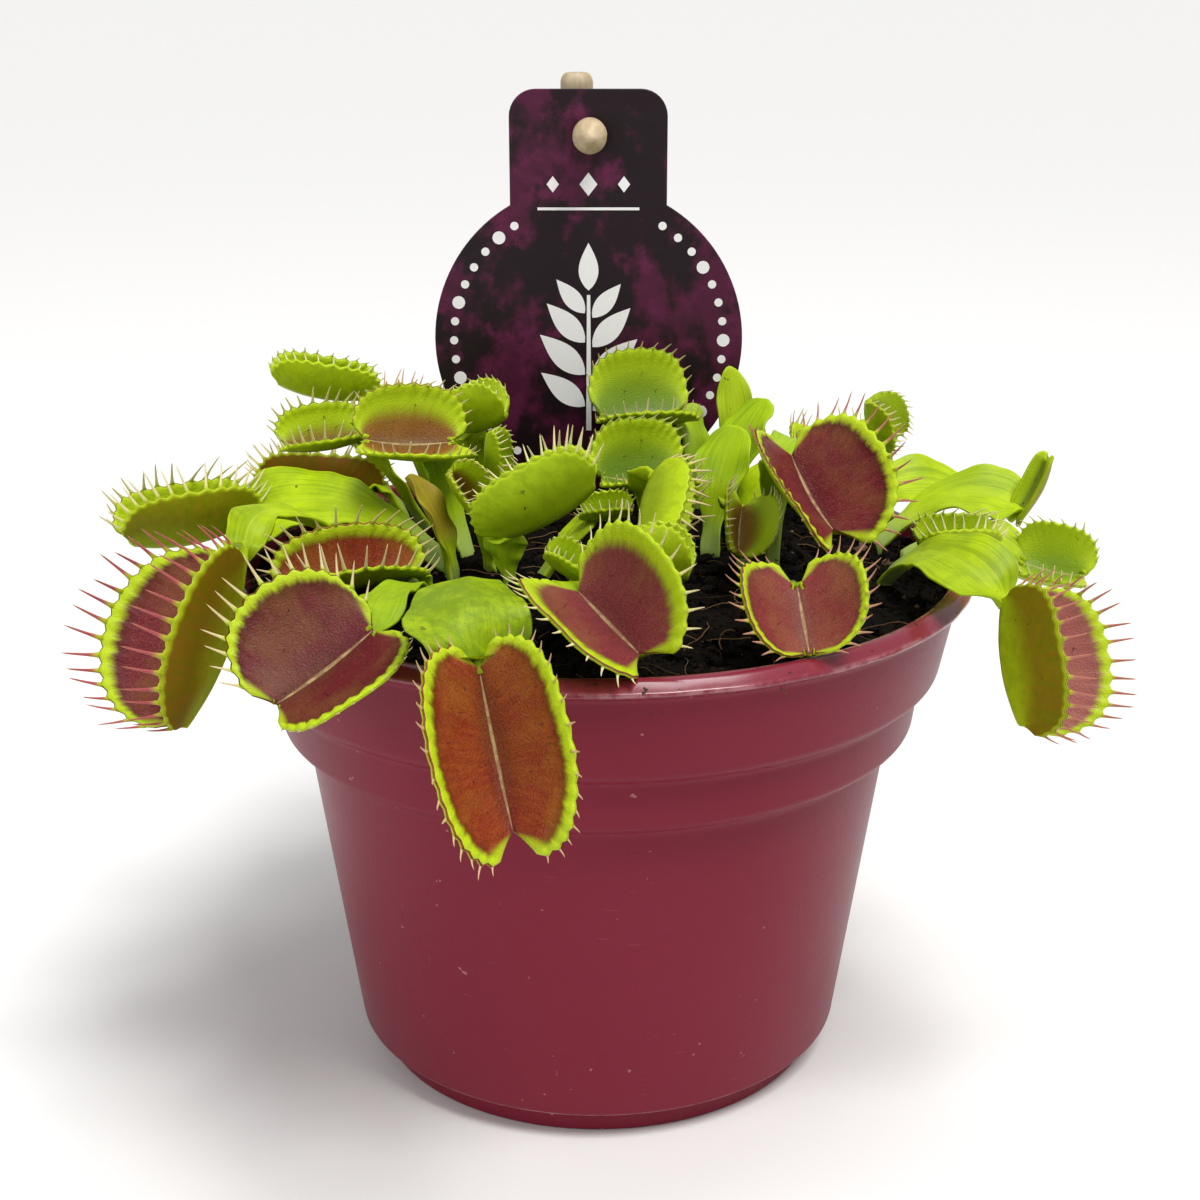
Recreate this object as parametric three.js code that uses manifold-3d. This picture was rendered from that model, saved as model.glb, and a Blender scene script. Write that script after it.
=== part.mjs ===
// Venus flytrap in a 9 cm round plastic nursery pot, with a plant label on a stick.
// Millimetres, +Z up, the front of the pot towards -Y, the ground plane at z = 0.
import * as THREE from 'three';
import * as BufferGeometryUtils from 'three/addons/utils/BufferGeometryUtils.js';
import Module from 'manifold-3d';

const wasm = await Module();
wasm.setup();

// ---------------------------------------------------------------- driving sizes
const RIM_RADIUS = 45.0;        // sharp outer edge of the rim, a 90 mm pot
const POT_HEIGHT = 62.6;        // ground to the top of the rim
const FLOOR_THICKNESS = 1.6;
const FOOT_RISE = 1.8;          // the floor stands this far off the ground
const FOOT_INNER = 25.6;        // inner radius of the foot ring
const POT_SEGMENTS = 40;
const DRAIN_HOLES = 6;
const DRAIN_RADIUS = 3.0;
const DRAIN_CIRCLE = 16.0;

const SOIL_GAP = 0.3;
const SOIL_EDGE = 60.4;         // height of the soil where it meets the wall
const SOIL_TOP = 61.8;          // height of the soil in the middle
const STEM_HOLE = 2.1;          // radius of the plain hole each leaf stands in
const STEM_FOOT = 58.6;         // lower end of every leaf stalk

const LEAF_THICKNESS = 0.8;
const NECK_WIDTH = 1.5;         // narrow neck between blade and trap
const TOOTH_RATIO = 0.26;       // longest tooth as a share of the trap length

const LABEL = {
  x: -1.2, y: 29.5, z: 83.3, radius: 20.2, neck: 20.1, top: 115.4, corner: 3.3, thickness: 0.8,
};
const STICK = { x: -2.7, y: 32.4, radius: 2.1, bottom: 44.0, top: 117.4 };
const PEG = { x: -1.0, z: 109.8, radius: 2.2, length: 7.0, cone: 2.6, hole: 2.5 };

// One row per leaf. root is where the stalk leaves the soil, knee is the control point of its
// curve, hinge and tip are the ends of the trap's midrib, mouth is where the trap opens.
// Angles are in degrees; width is the height of a lobe as a share of the midrib.
const LEAF_DEFAULTS = {
  gape: 30, curl: 40, width: 0.65, xc: 0.48, xa: 0.62, square: 0.9, arch: 0.08,
  blade: 7, stalk: 0.3, fold: 12, roll: 0, wave: 0.4, teeth: 8, trap: true,
};
const LEAVES = [
  // left front
  { name: 'leaf_front_hanging', root: [-13, -16.5], knee: [-14.2, -43, 78.5], hinge: [-11.5, -48.5, 66],
    tip: [-8, -56.5, 52], mouth: [0.1, -0.85, 0.5], gape: 44, curl: 30, width: 0.58, xc: 0.52,
    xa: 0.64, blade: 13, fold: -12, stalk: 0.2, teeth: 10 },
  { name: 'leaf_left_front', root: [-17.5, -16], knee: [-22, -26, 70], hinge: [-23, -35.5, 65],
    tip: [-32.5, -41.5, 59], mouth: [-0.22, -0.6, 0.75], gape: 58, curl: 30, width: 0.88,
    xc: 0.5, xa: 0.6, arch: 0.04, blade: 5, stalk: 0.2, teeth: 10 },
  { name: 'leaf_left_hanging', root: [-20.5, -9.5], knee: [-42, -7, 77], hinge: [-39.2, -20, 68.2],
    tip: [-45, -30, 52], mouth: [-0.76, -0.4, 0.5], gape: 42, curl: 34, width: 0.7, xc: 0.52,
    xa: 0.52, square: 1, blade: 5, teeth: 10 },
  { name: 'leaf_left_inner', root: [-19, -13], knee: [-20, -14, 66], hinge: [-21.5, -14.5, 64.5],
    tip: [-35, -17.5, 63.5], mouth: [0, -0.42, 0.9], gape: 36, curl: 40, width: 0.5, arch: 0.02,
    blade: 5, teeth: 10 },
  { name: 'leaf_left_closed', root: [-18, -3.5], knee: [-31, 0.5, 74], hinge: [-43, 0, 66.5],
    tip: [-54.5, -8, 66.5], mouth: [-0.2, -0.15, 1], gape: 20, curl: 40, width: 0.5, blade: 12,
    stalk: 0.2, fold: 8, roll: -22 },
  // behind on the left
  { name: 'leaf_back_left_closed', root: [-20.5, 20], knee: [-25, 18, 77], hinge: [-29.5, 16.5, 78.5],
    tip: [-40, 14, 81], mouth: [0.1, -0.1, 1], gape: 22, curl: 44, width: 0.45, blade: 6 },
  { name: 'leaf_back_left_open', root: [-22, 14.5], knee: [-26, 12, 71], hinge: [-30, 11, 74.5],
    tip: [-38.5, 8, 74], mouth: [-0.3, -0.6, 0.8], gape: 40, curl: 40, width: 0.6, blade: 5 },
  { name: 'leaf_back_left_low', root: [-25, 19], knee: [-28, 19, 68], hinge: [-30, 19, 65],
    tip: [-42.5, 15.5, 66.8], mouth: [0.1, 0.5, 0.9], gape: 24, curl: 40, width: 0.45, blade: 4 },
  { name: 'leaf_left_upper', root: [-16, 1.5], knee: [-19.5, 4, 72], hinge: [-17.5, 3.5, 75.5],
    tip: [-28, 0.5, 76.5], mouth: [0, -0.65, 0.8], gape: 46, curl: 50, width: 0.7, blade: 8,
    teeth: 10 },
  { name: 'leaf_left_small_closed', root: [-15.5, 15.5], knee: [-15.5, 14, 71],
    hinge: [-16.9, 11, 75.4], tip: [-11.4, 9.5, 77.7], mouth: [-0.25, 0.1, 1], gape: 20, curl: 56,
    width: 1.0, blade: 5 },
  // middle
  { name: 'leaf_spear_left', root: [-17, -8.8], knee: [-17, -8, 66], hinge: [-22, -6, 74],
    trap: false, blade: 4.4, fold: 30 },
  { name: 'leaf_middle_small', root: [-12.5, -4], knee: [-13, -4, 64], hinge: [-14, -4, 68.5],
    tip: [-17.2, -6.5, 74.5], mouth: [0.3, -0.7, 0.6], gape: 34, curl: 40, width: 0.6, blade: 4 },
  { name: 'leaf_middle_back', root: [-12.5, 5.5], knee: [-12.5, 6, 66], hinge: [-12.8, 5.5, 70.5],
    tip: [-13, 4.5, 76.5], mouth: [0.8, -0.4, 0], gape: 30, curl: 60, width: 0.5, blade: 4,
    teeth: 7 },
  { name: 'leaf_middle_closed', root: [-10, -10.5], knee: [-11, -11.5, 66], hinge: [-11.1, -13, 68.7],
    tip: [-0.4, -14, 74.9], mouth: [-0.5, 0.08, 0.85], gape: 14, curl: 52, width: 0.58,
    square: 0.9, blade: 5, teeth: 10 },
  { name: 'leaf_middle_blade', root: [-7, -9], knee: [-4, -6.5, 66], hinge: [-1, -6, 69],
    tip: [3.8, -7, 70], mouth: [0, -0.5, 0.85], gape: 30, curl: 40, width: 0.62, blade: 5,
    wave: 0, teeth: 6 },
  { name: 'leaf_front_right_open', root: [-4, -21], knee: [-2, -25, 69], hinge: [-2, -30.5, 67.6],
    tip: [4.4, -39.2, 63.6], mouth: [0, -0.73, 0.69], gape: 37, curl: 38, width: 1.0, xc: 0.55,
    xa: 0.74, square: 1, arch: 0.02, blade: 7, teeth: 10 },
  { name: 'leaf_middle_tiny', root: [-1.5, -19], knee: [-1, -20.2, 64], hinge: [-1.6, -21.2, 66.2],
    tip: [-5.6, -21.8, 69.2], mouth: [-0.5, -0.2, 0.6], gape: 28, curl: 40, width: 0.7, blade: 3.6,
    teeth: 6 },
  { name: 'leaf_centre_side', root: [6, -1], knee: [7, -3, 73], hinge: [6.9, -9, 75.2],
    tip: [5.2, -15, 69.3], mouth: [0.95, -0.1, 0.2], gape: 20, curl: 44, width: 0.66, blade: 6,
    teeth: 9 },
  { name: 'leaf_centre_low', root: [1.5, -15], knee: [2, -18, 67], hinge: [4.0, -20, 66.1],
    tip: [10.0, -21.5, 66.6], mouth: [0.05, 0.15, 1], gape: 14, curl: 60, width: 1.05, arch: 0.04,
    blade: 4 },
  // behind the middle
  { name: 'leaf_back_upper', root: [12.5, 23], knee: [14, 25, 72], hinge: [10.6, 25, 74.2],
    tip: [0.2, 22.5, 74.6], mouth: [0, -0.5, 0.87], gape: 42, curl: 58, width: 0.9, blade: 8,
    teeth: 10 },
  { name: 'leaf_back_lower', root: [8, 10], knee: [9, 10, 66], hinge: [9.6, 8, 69.9],
    tip: [0.4, 4, 71], mouth: [0, -0.55, 0.84], gape: 42, curl: 58, width: 0.82, blade: 6,
    teeth: 10 },
  { name: 'leaf_blade_back', root: [17.5, 17.5], knee: [18.8, 20.5, 72], hinge: [17, 22.8, 81],
    trap: false, blade: 5 },
  { name: 'leaf_blade_upper', root: [18, 11.5], knee: [15.5, 10.5, 72], hinge: [21.5, 14, 78.5],
    trap: false, blade: 8.6 },
  { name: 'leaf_blade_middle', root: [14, 3.5], knee: [14.2, 5, 70], hinge: [17.5, 8, 76.5],
    trap: false, blade: 8.4 },
  { name: 'leaf_blade_right', root: [18.5, 2.5], knee: [17, 3, 68], hinge: [24, 6, 73],
    trap: false, blade: 8.4 },
  // right
  { name: 'leaf_right_small', root: [17.5, -1.5], knee: [17, -1, 71], hinge: [17, -3.5, 69.3],
    tip: [16.3, -9.5, 65.3], mouth: [0.3, -0.6, 0.7], gape: 34, curl: 40, width: 0.82, blade: 5 },
  { name: 'leaf_right_upper', root: [21, -3], knee: [21.5, 0, 74], hinge: [22.3, -7, 76.5],
    tip: [26.5, -15.5, 69.8], mouth: [0.17, -0.6, 0.78], gape: 42, curl: 36, width: 0.92, xc: 0.55,
    xa: 0.74, square: 1, blade: 6, teeth: 10 },
  { name: 'leaf_right_front', root: [21, -11], knee: [21, -22, 66.5], hinge: [21.1, -30.5, 68.1],
    tip: [21.9, -37, 62.9], mouth: [-0.04, -0.75, 0.66], gape: 50, curl: 50, width: 1.03,
    xc: 0.36, xa: 0.68, square: 1, arch: 0.02, blade: 3.4, teeth: 10 },
  { name: 'leaf_right_spear', root: [35, 6.5], knee: [44, 8.5, 71], hinge: [52, 5, 66],
    tip: [55, 5, 73], mouth: [-0.1, -0.3, 0.9], gape: 42, curl: 60, width: 0.28, blade: 10,
    stalk: 0.2, roll: 18, teeth: 0 },
  { name: 'leaf_far_right', root: [37.5, 1.6], knee: [46, 1.2, 68.4], hinge: [51, -2, 62],
    tip: [57.8, -6, 61.5], mouth: [0.2, -0.7, 0.7], gape: 44, curl: 60, width: 0.8,
    blade: 6, roll: 14 },
  { name: 'leaf_right_low', root: [36.5, -2.5], knee: [41, -4, 68], hinge: [45.5, -6, 65.6],
    tip: [37.5, -9, 66.6], mouth: [0.2, -0.3, 0.9], gape: 22, curl: 50, width: 0.5, blade: 4 },
  { name: 'leaf_right_hanging', root: [34, -7], knee: [38, -18, 72], hinge: [44.5, -24.5, 65],
    tip: [46, -30.5, 52.5], mouth: [0.8, -0.5, 0.3], gape: 34, curl: 6, width: 0.8, xc: 0.52,
    xa: 0.58, blade: 9, roll: 28, stalk: 0.2, teeth: 10 },
  { name: 'leaf_back_right', root: [21, 21], knee: [31, 26, 73], hinge: [37, 26, 70.5],
    tip: [35.5, 24.5, 76], mouth: [0.3, -0.5, 0.8], gape: 30, curl: 50, width: 0.9, blade: 7 },
  { name: 'leaf_right_behind', root: [28, 12], knee: [38, 17, 70], hinge: [48, 19, 65],
    trap: false, blade: 9, roll: 32 },
  // the side away from the front
  { name: 'leaf_rear_hanging', root: [9, 31], knee: [8, 44, 76], hinge: [7, 49, 67],
    tip: [10, 58, 55], mouth: [0.1, 0.85, 0.5], gape: 40, curl: 34, width: 0.62, blade: 11,
    fold: -10, stalk: 0.2, teeth: 10 },
  { name: 'leaf_rear_left', root: [-16, 27], knee: [-20, 37, 74], hinge: [-22, 44, 68],
    tip: [-31, 51, 64], mouth: [-0.2, 0.5, 0.8], gape: 40, curl: 40, width: 0.75, blade: 8,
    teeth: 9 },
  { name: 'leaf_rear_middle', root: [-9, 33.5], knee: [-9, 39, 77], hinge: [-9, 42, 76],
    tip: [-17, 44, 81], mouth: [0.4, 0.6, 0.7], gape: 28, curl: 44, width: 0.7, blade: 7 },
  { name: 'leaf_rear_right', root: [22, 28], knee: [27, 37, 72], hinge: [30, 44, 64],
    tip: [37, 50, 57], mouth: [0.4, 0.6, 0.7], gape: 36, curl: 44, width: 0.75, blade: 8 },
];

// ---------------------------------------------------------------- helpers
const RAD = Math.PI / 180;
const vec = (a) => new THREE.Vector3(a[0], a[1], a[2]);
const clamp01 = (x) => Math.min(1, Math.max(0, x));
const smooth = (x) => clamp01(x) * clamp01(x) * (3 - 2 * clamp01(x));

function toSolid(geometry) {
  const g = geometry.clone();
  g.deleteAttribute('normal');
  g.deleteAttribute('uv');
  const merged = BufferGeometryUtils.mergeVertices(g, 1e-5);
  return new wasm.Manifold(new wasm.Mesh({
    numProp: 3,
    vertProperties: new Float32Array(merged.attributes.position.array),
    triVerts: new Uint32Array(merged.index.array),
  }));
}

function toMesh(solid, name, colour) {
  const m = solid.getMesh();
  const g = new THREE.BufferGeometry();
  g.setAttribute('position', new THREE.BufferAttribute(new Float32Array(m.vertProperties), 3));
  g.setIndex(new THREE.BufferAttribute(new Uint32Array(m.triVerts), 1));
  g.computeVertexNormals();
  const mesh = new THREE.Mesh(g, new THREE.MeshStandardMaterial({ color: colour, roughness: 0.5 }));
  mesh.name = name;
  return mesh;
}

// Lathe solid about +Z from [radius, z] points given anticlockwise in the (r, z) half plane.
function latheSolid(points, segments) {
  const g = new THREE.LatheGeometry(points.map(([r, z]) => new THREE.Vector2(r, z)), segments);
  g.rotateX(Math.PI / 2);
  return toSolid(g);
}

function rod(radius, z0, z1, x, y, segments) {
  const g = new THREE.CylinderGeometry(radius, radius, z1 - z0, segments);
  g.rotateX(Math.PI / 2);
  g.translate(x, y, (z0 + z1) / 2);
  return toSolid(g);
}

// Closed solid between two faces of a grid, with an optional spine raised on edge cells.
// faces(i, j) returns [front, back] points; spine(i, side) returns the tip raised on an edge cell.
function sheetSolid(ni, nj, faces, spine) {
  const positions = [];
  const index = [];
  const id = (i, j, k) => (i * (nj + 1) + j) * 2 + k;
  for (let i = 0; i <= ni; i++) {
    for (let j = 0; j <= nj; j++) {
      for (const p of faces(i, j)) positions.push(p.x, p.y, p.z);
    }
  }
  const quad = (a, b, c, d) => index.push(a, b, c, a, c, d);
  for (let i = 0; i < ni; i++) {
    for (let j = 0; j < nj; j++) {
      quad(id(i, j, 0), id(i + 1, j, 0), id(i + 1, j + 1, 0), id(i, j + 1, 0));
      index.push(id(i, j, 1), id(i + 1, j + 1, 1), id(i + 1, j, 1));
      index.push(id(i, j, 1), id(i, j + 1, 1), id(i + 1, j + 1, 1));
    }
  }
  for (let j = 0; j < nj; j++) {
    quad(id(0, j, 0), id(0, j + 1, 0), id(0, j + 1, 1), id(0, j, 1));
    quad(id(ni, j, 0), id(ni, j, 1), id(ni, j + 1, 1), id(ni, j + 1, 0));
  }
  for (let i = 0; i < ni; i++) {
    for (const side of [-1, 1]) {
      const j = side < 0 ? 0 : nj;
      const rim = [id(i, j, 0), id(i + 1, j, 0), id(i + 1, j, 1), id(i, j, 1)];
      if (side < 0) rim.reverse();
      const tip = spine ? spine(i, side) : null;
      if (!tip) {
        quad(...rim);
        continue;
      }
      const apex = positions.length / 3;
      positions.push(tip.x, tip.y, tip.z);
      for (let k = 0; k < 4; k++) index.push(rim[k], rim[(k + 1) % 4], apex);
    }
  }
  const g = new THREE.BufferGeometry();
  g.setAttribute('position', new THREE.Float32BufferAttribute(positions, 3));
  g.setIndex(index);
  const solid = toSolid(g);
  if (solid.volume() > 0) return solid;
  const flipped = [];
  for (let k = 0; k < index.length; k += 3) flipped.push(index[k], index[k + 2], index[k + 1]);
  g.setIndex(flipped);
  return toSolid(g);
}

// ---------------------------------------------------------------- traps
// The trap's own axes: X along the midrib, Z out of the mouth, Y across it.
function trapFrame(leaf) {
  const hinge = vec(leaf.hinge);
  const x = vec(leaf.tip).sub(hinge);
  const length = x.length();
  x.normalize();
  const z = vec(leaf.mouth);
  z.addScaledVector(x, -z.dot(x)).normalize();
  const y = new THREE.Vector3().crossVectors(z, x);
  return { hinge, length, x, y, z };
}

// Point on a lobe: u runs from hinge end to tip end, q from midrib (0) to margin (1).
function lobePoint(leaf, frame, side, u, q) {
  const span = leaf.width * frame.length;
  const ears = 10 * RAD;
  const phi = -ears + (Math.PI + 1.6 * ears) * u;
  const near = 0.28 * span;
  const bulge = (x) => Math.sign(x) * Math.abs(x) ** leaf.square;
  const xEdge = frame.length * (leaf.xc - leaf.xa * bulge(Math.cos(phi)));
  const rEdge = near + (span - near) * bulge(Math.sin(phi));
  const xMid = frame.length * u;
  const xBend = xMid + 0.35 * (xEdge - xMid);
  const x = (1 - q) ** 2 * xMid + 2 * q * (1 - q) * xBend + q * q * xEdge;
  const r = 2 * q * (1 - q) * 0.55 * rEdge + q * q * rEdge;
  const curl = leaf.curl * RAD;
  const start = leaf.gape * RAD + curl / 2;
  const k = curl / span;
  const y = (Math.cos(start - k * r) - Math.cos(start)) / k;
  let z = (Math.sin(start) - Math.sin(start - k * r)) / k;
  const t = clamp01(x / frame.length);
  z -= leaf.arch * frame.length * 4 * t * (1 - t);
  return frame.hinge.clone().addScaledVector(frame.x, x)
    .addScaledVector(frame.y, side * y).addScaledVector(frame.z, z);
}

// Both lobes as one folded sheet; the crease along the midrib is mitred.
function trapSolid(leaf, frame) {
  const ni = leaf.teeth || 5;
  const nj = 2;
  const uAt = (i) => 0.02 + 0.96 * i / ni;
  const normal = (side, u, q) => {
    const point = (a, b) => lobePoint(leaf, frame, side, clamp01(a), clamp01(b));
    const along = point(u + 0.02, q).sub(point(u - 0.02, q));
    const out = point(u, q + 0.04).sub(point(u, q - 0.04));
    const n = along.cross(out).normalize();
    if (n.dot(frame.y) * side > 0) n.negate();
    return n;
  };
  const crease = LEAF_THICKNESS / 2 / Math.sin((leaf.gape + leaf.curl / 2) * RAD);
  const faces = (i, j) => {
    const side = j < nj ? -1 : 1;
    const q = Math.abs(j - nj) / nj;
    const p = lobePoint(leaf, frame, side, uAt(i), q);
    if (q === 0) {
      return [p.clone().addScaledVector(frame.z, crease), p.clone().addScaledVector(frame.z, -crease)];
    }
    const n = normal(side, uAt(i), q);
    return [p.clone().addScaledVector(n, LEAF_THICKNESS / 2),
      p.clone().addScaledVector(n, -LEAF_THICKNESS / 2)];
  };
  const tooth = (i, side) => {
    if (!leaf.teeth) return null;
    const u = uAt(i + 0.5);
    const edge = lobePoint(leaf, frame, side, u, 1);
    const out = edge.clone().sub(lobePoint(leaf, frame, side, u, 0.85)).normalize();
    const lean = 25 * RAD;
    const reach = frame.length * TOOTH_RATIO * (0.62 + 0.38 * Math.sin(Math.PI * u));
    return edge.addScaledVector(out, reach * Math.cos(lean))
      .addScaledVector(normal(side, u, 1), reach * Math.sin(lean));
  };
  return sheetSolid(ni, 2 * nj, faces, tooth);
}

// ---------------------------------------------------------------- stalks
function stalkCurve(leaf, frame) {
  const root = new THREE.Vector3(leaf.root[0], leaf.root[1], SOIL_TOP);
  const end = leaf.trap ? frame.hinge.clone().addScaledVector(frame.x, 1.0) : vec(leaf.hinge);
  return new THREE.QuadraticBezierCurve3(root, vec(leaf.knee), end);
}

// Half width of the flat stalk: a stem, then a blade, then a narrow neck at the trap.
// A leaf without a trap ends in a rounded tip.
function stalkHalfWidth(leaf, t) {
  const grow = smooth((t - leaf.stalk / 2) / (0.8 - leaf.stalk / 2));
  const close = leaf.trap ? clamp01((t - 0.8) / 0.18) : clamp01((t - 0.55) / 0.45);
  const w = leaf.blade / 2 * (0.3 + 0.7 * grow) * Math.sqrt(Math.max(0, 1 - close ** 2.2));
  return Math.min(Math.max(w, leaf.trap ? NECK_WIDTH / 2 : 0.5), 1.2 + 8 * t);
}

function stalkSolid(leaf, frame) {
  const curve = stalkCurve(leaf, frame);
  const root = curve.v0;
  const stations = leaf.blade > 5
    ? [0, 0.14, 0.32, 0.5, 0.68, 0.82, 0.93, 1]
    : [0, 0.24, 0.48, 0.7, 0.88, 1];
  const ni = stations.length;
  const nj = 2;
  const radial = new THREE.Vector3(leaf.hinge[0] - root.x, leaf.hinge[1] - root.y, 0).normalize();
  const adaxial = new THREE.Vector3(0, 0, 1).addScaledVector(radial, -0.6);
  const across = (tangent, t) => {
    const lateral = new THREE.Vector3().crossVectors(adaxial, tangent).normalize();
    lateral.applyAxisAngle(tangent, leaf.roll * RAD);
    if (!leaf.trap) return lateral;
    const end = frame.y.dot(lateral) > 0 ? frame.y.clone() : frame.y.clone().negate();
    const k = smooth((t - 0.86) / 0.14);
    lateral.lerp(end, k);
    return lateral.addScaledVector(tangent, -lateral.dot(tangent)).normalize();
  };
  const faces = (i, j) => {
    const t = i === 0 ? 0 : stations[i - 1];
    const tangent = curve.getTangent(t);
    const lateral = across(tangent, t);
    const normal = new THREE.Vector3().crossVectors(tangent, lateral);
    const s = j - 1;
    const w = i === 0 ? Math.min(1.2, stalkHalfWidth(leaf, 0)) : stalkHalfWidth(leaf, t);
    const lift = Math.tan(leaf.fold * RAD) * Math.abs(s) * w
      + leaf.wave * Math.sin(19 * t + 1.3 * s) * s * s * (2 * w / leaf.blade);
    const p = i === 0 ? new THREE.Vector3(root.x, root.y, STEM_FOOT) : curve.getPoint(t);
    p.addScaledVector(lateral, s * w).addScaledVector(normal, i === 0 ? 0 : lift);
    return [p.clone().addScaledVector(normal, LEAF_THICKNESS / 2),
      p.clone().addScaledVector(normal, -LEAF_THICKNESS / 2)];
  };
  return sheetSolid(ni, nj, faces, null);
}

// The outer shell alone: the fold at the neck can shut in a small pocket.
function outerShell(solid) {
  return solid.decompose().reduce((best, part) => (part.volume() > best.volume() ? part : best));
}

function leafSolid(row) {
  const leaf = { ...LEAF_DEFAULTS, ...row };
  const frame = leaf.trap ? trapFrame(leaf) : null;
  const stalk = stalkSolid(leaf, frame);
  return leaf.trap ? outerShell(trapSolid(leaf, frame).add(stalk)) : stalk;
}

// ---------------------------------------------------------------- pot and soil
function potSolid() {
  const outer = [
    [FOOT_INNER, 0], [27.8, 0], [28.2, 3.2], [30.4, 3.6], [35.8, 42.4], [38.6, 43.5], [39.4, 49.5],
    [41.4, 50.6], [43.4, 60.4], [RIM_RADIUS, 61.2], [RIM_RADIUS, 61.6], [43.6, POT_HEIGHT],
  ];
  const inner = [
    [42.4, POT_HEIGHT], [42.0, 60.6], [40.2, 51.6], [38.2, 50.6], [37.4, 44.6], [34.6, 43.4],
    [29.2, 4.6], [27.4, FOOT_RISE + FLOOR_THICKNESS], [0, FOOT_RISE + FLOOR_THICKNESS],
    [0, FOOT_RISE], [FOOT_INNER, FOOT_RISE], [FOOT_INNER, 0],
  ];
  let pot = latheSolid([...outer, ...inner], POT_SEGMENTS);
  for (let i = 0; i < DRAIN_HOLES; i++) {
    const a = 2 * Math.PI * i / DRAIN_HOLES;
    const [x, y] = [DRAIN_CIRCLE * Math.cos(a), DRAIN_CIRCLE * Math.sin(a)];
    pot = pot.subtract(rod(DRAIN_RADIUS, 0, 6, x, y, 14));
  }
  return pot;
}

function soilSolid(leaves) {
  const wall = [
    [27.4 - SOIL_GAP, FOOT_RISE + FLOOR_THICKNESS + SOIL_GAP],
    [29.2 - SOIL_GAP, 4.6], [34.6 - SOIL_GAP, 43.7],
    [37.4 - SOIL_GAP, 44.9], [38.2 - SOIL_GAP, 50.9], [40.2 - SOIL_GAP, 51.9],
    [41.9 - SOIL_GAP, SOIL_EDGE],
  ];
  const top = [[34, SOIL_EDGE + 0.8], [18, SOIL_TOP], [0, SOIL_TOP]];
  const bottom = [0, FOOT_RISE + FLOOR_THICKNESS + SOIL_GAP];
  let soil = latheSolid([bottom, ...wall, ...top], POT_SEGMENTS / 2);
  for (const { root } of leaves) {
    soil = soil.subtract(rod(STEM_HOLE, STEM_FOOT - 1.2, SOIL_TOP + 3, root[0], root[1], 6));
  }
  return soil.subtract(rod(STICK.radius + 0.3, STICK.bottom - 0.3, SOIL_TOP + 3, STICK.x, STICK.y, 16));
}

// ---------------------------------------------------------------- label, stick and peg
function labelSolid() {
  const half = LABEL.neck / 2;
  const joint = Math.asin(half / LABEL.radius);
  const shape = new THREE.Shape();
  const top = LABEL.top - LABEL.z;
  shape.moveTo(half, LABEL.radius * Math.cos(joint));
  shape.lineTo(half, top - LABEL.corner);
  shape.absarc(half - LABEL.corner, top - LABEL.corner, LABEL.corner, 0, Math.PI / 2, false);
  shape.lineTo(-half + LABEL.corner, top);
  shape.absarc(-half + LABEL.corner, top - LABEL.corner, LABEL.corner, Math.PI / 2, Math.PI, false);
  shape.lineTo(-half, LABEL.radius * Math.cos(joint));
  shape.absarc(0, 0, LABEL.radius, Math.PI / 2 + joint, 2.5 * Math.PI - joint, false);
  const hole = new THREE.Path();
  hole.absarc(PEG.x - LABEL.x, PEG.z - LABEL.z, PEG.hole, 0, 2 * Math.PI, true);
  shape.holes.push(hole);
  const g = new THREE.ExtrudeGeometry(shape, {
    depth: LABEL.thickness, bevelEnabled: false, curveSegments: 14,
  });
  g.rotateX(Math.PI / 2);
  g.translate(LABEL.x, LABEL.y + LABEL.thickness / 2, LABEL.z);
  return toSolid(g);
}

function stickSolid() {
  const r = STICK.radius;
  const stick = latheSolid([
    [0, STICK.bottom], [r * 0.35, STICK.bottom], [r, STICK.bottom + 4], [r, STICK.top - 1.2],
    [r * 0.8, STICK.top - 0.4], [r * 0.4, STICK.top], [0, STICK.top]], 16);
  return stick.translate([STICK.x, STICK.y, 0]);
}

function pegSolid() {
  const back = STICK.y - STICK.radius - 0.3;
  const g = new THREE.LatheGeometry([[0, 0], [PEG.radius, 0], [PEG.radius, PEG.length - PEG.cone],
    [PEG.radius * 0.25, PEG.length - 0.2], [0, PEG.length]].map(([r, h]) => new THREE.Vector2(r, h)), 16);
  g.rotateX(Math.PI);
  g.translate(PEG.x, back, PEG.z);
  return toSolid(g);
}

// ---------------------------------------------------------------- assembly
const group = new THREE.Group();
group.name = 'potted_venus_flytrap';
group.add(toMesh(potSolid(), 'pot', 0x7d2c40));
group.add(toMesh(soilSolid(LEAVES), 'soil', 0x2a211b));
group.add(toMesh(labelSolid(), 'label', 0x2b1220));
group.add(toMesh(stickSolid(), 'label_stick', 0xb08a58));
group.add(toMesh(pegSolid(), 'label_peg', 0xb88f5c));
for (const row of LEAVES) {
  group.add(toMesh(leafSolid(row), row.name, 0x7ea82c));
}

export default group;
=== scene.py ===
"""Looks of a potted venus flytrap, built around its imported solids.

Sizes in the tables are millimetres in the plant's own axes: +X to the viewer's right, +Y away
from the viewer, +Z up, with the ground under the middle of the pot at zero.
"""

import math

import bmesh
import bpy
import numpy as np
from bpy.props import FloatProperty, FloatVectorProperty, IntProperty, PointerProperty
from mathutils import Matrix, Vector, noise


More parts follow.
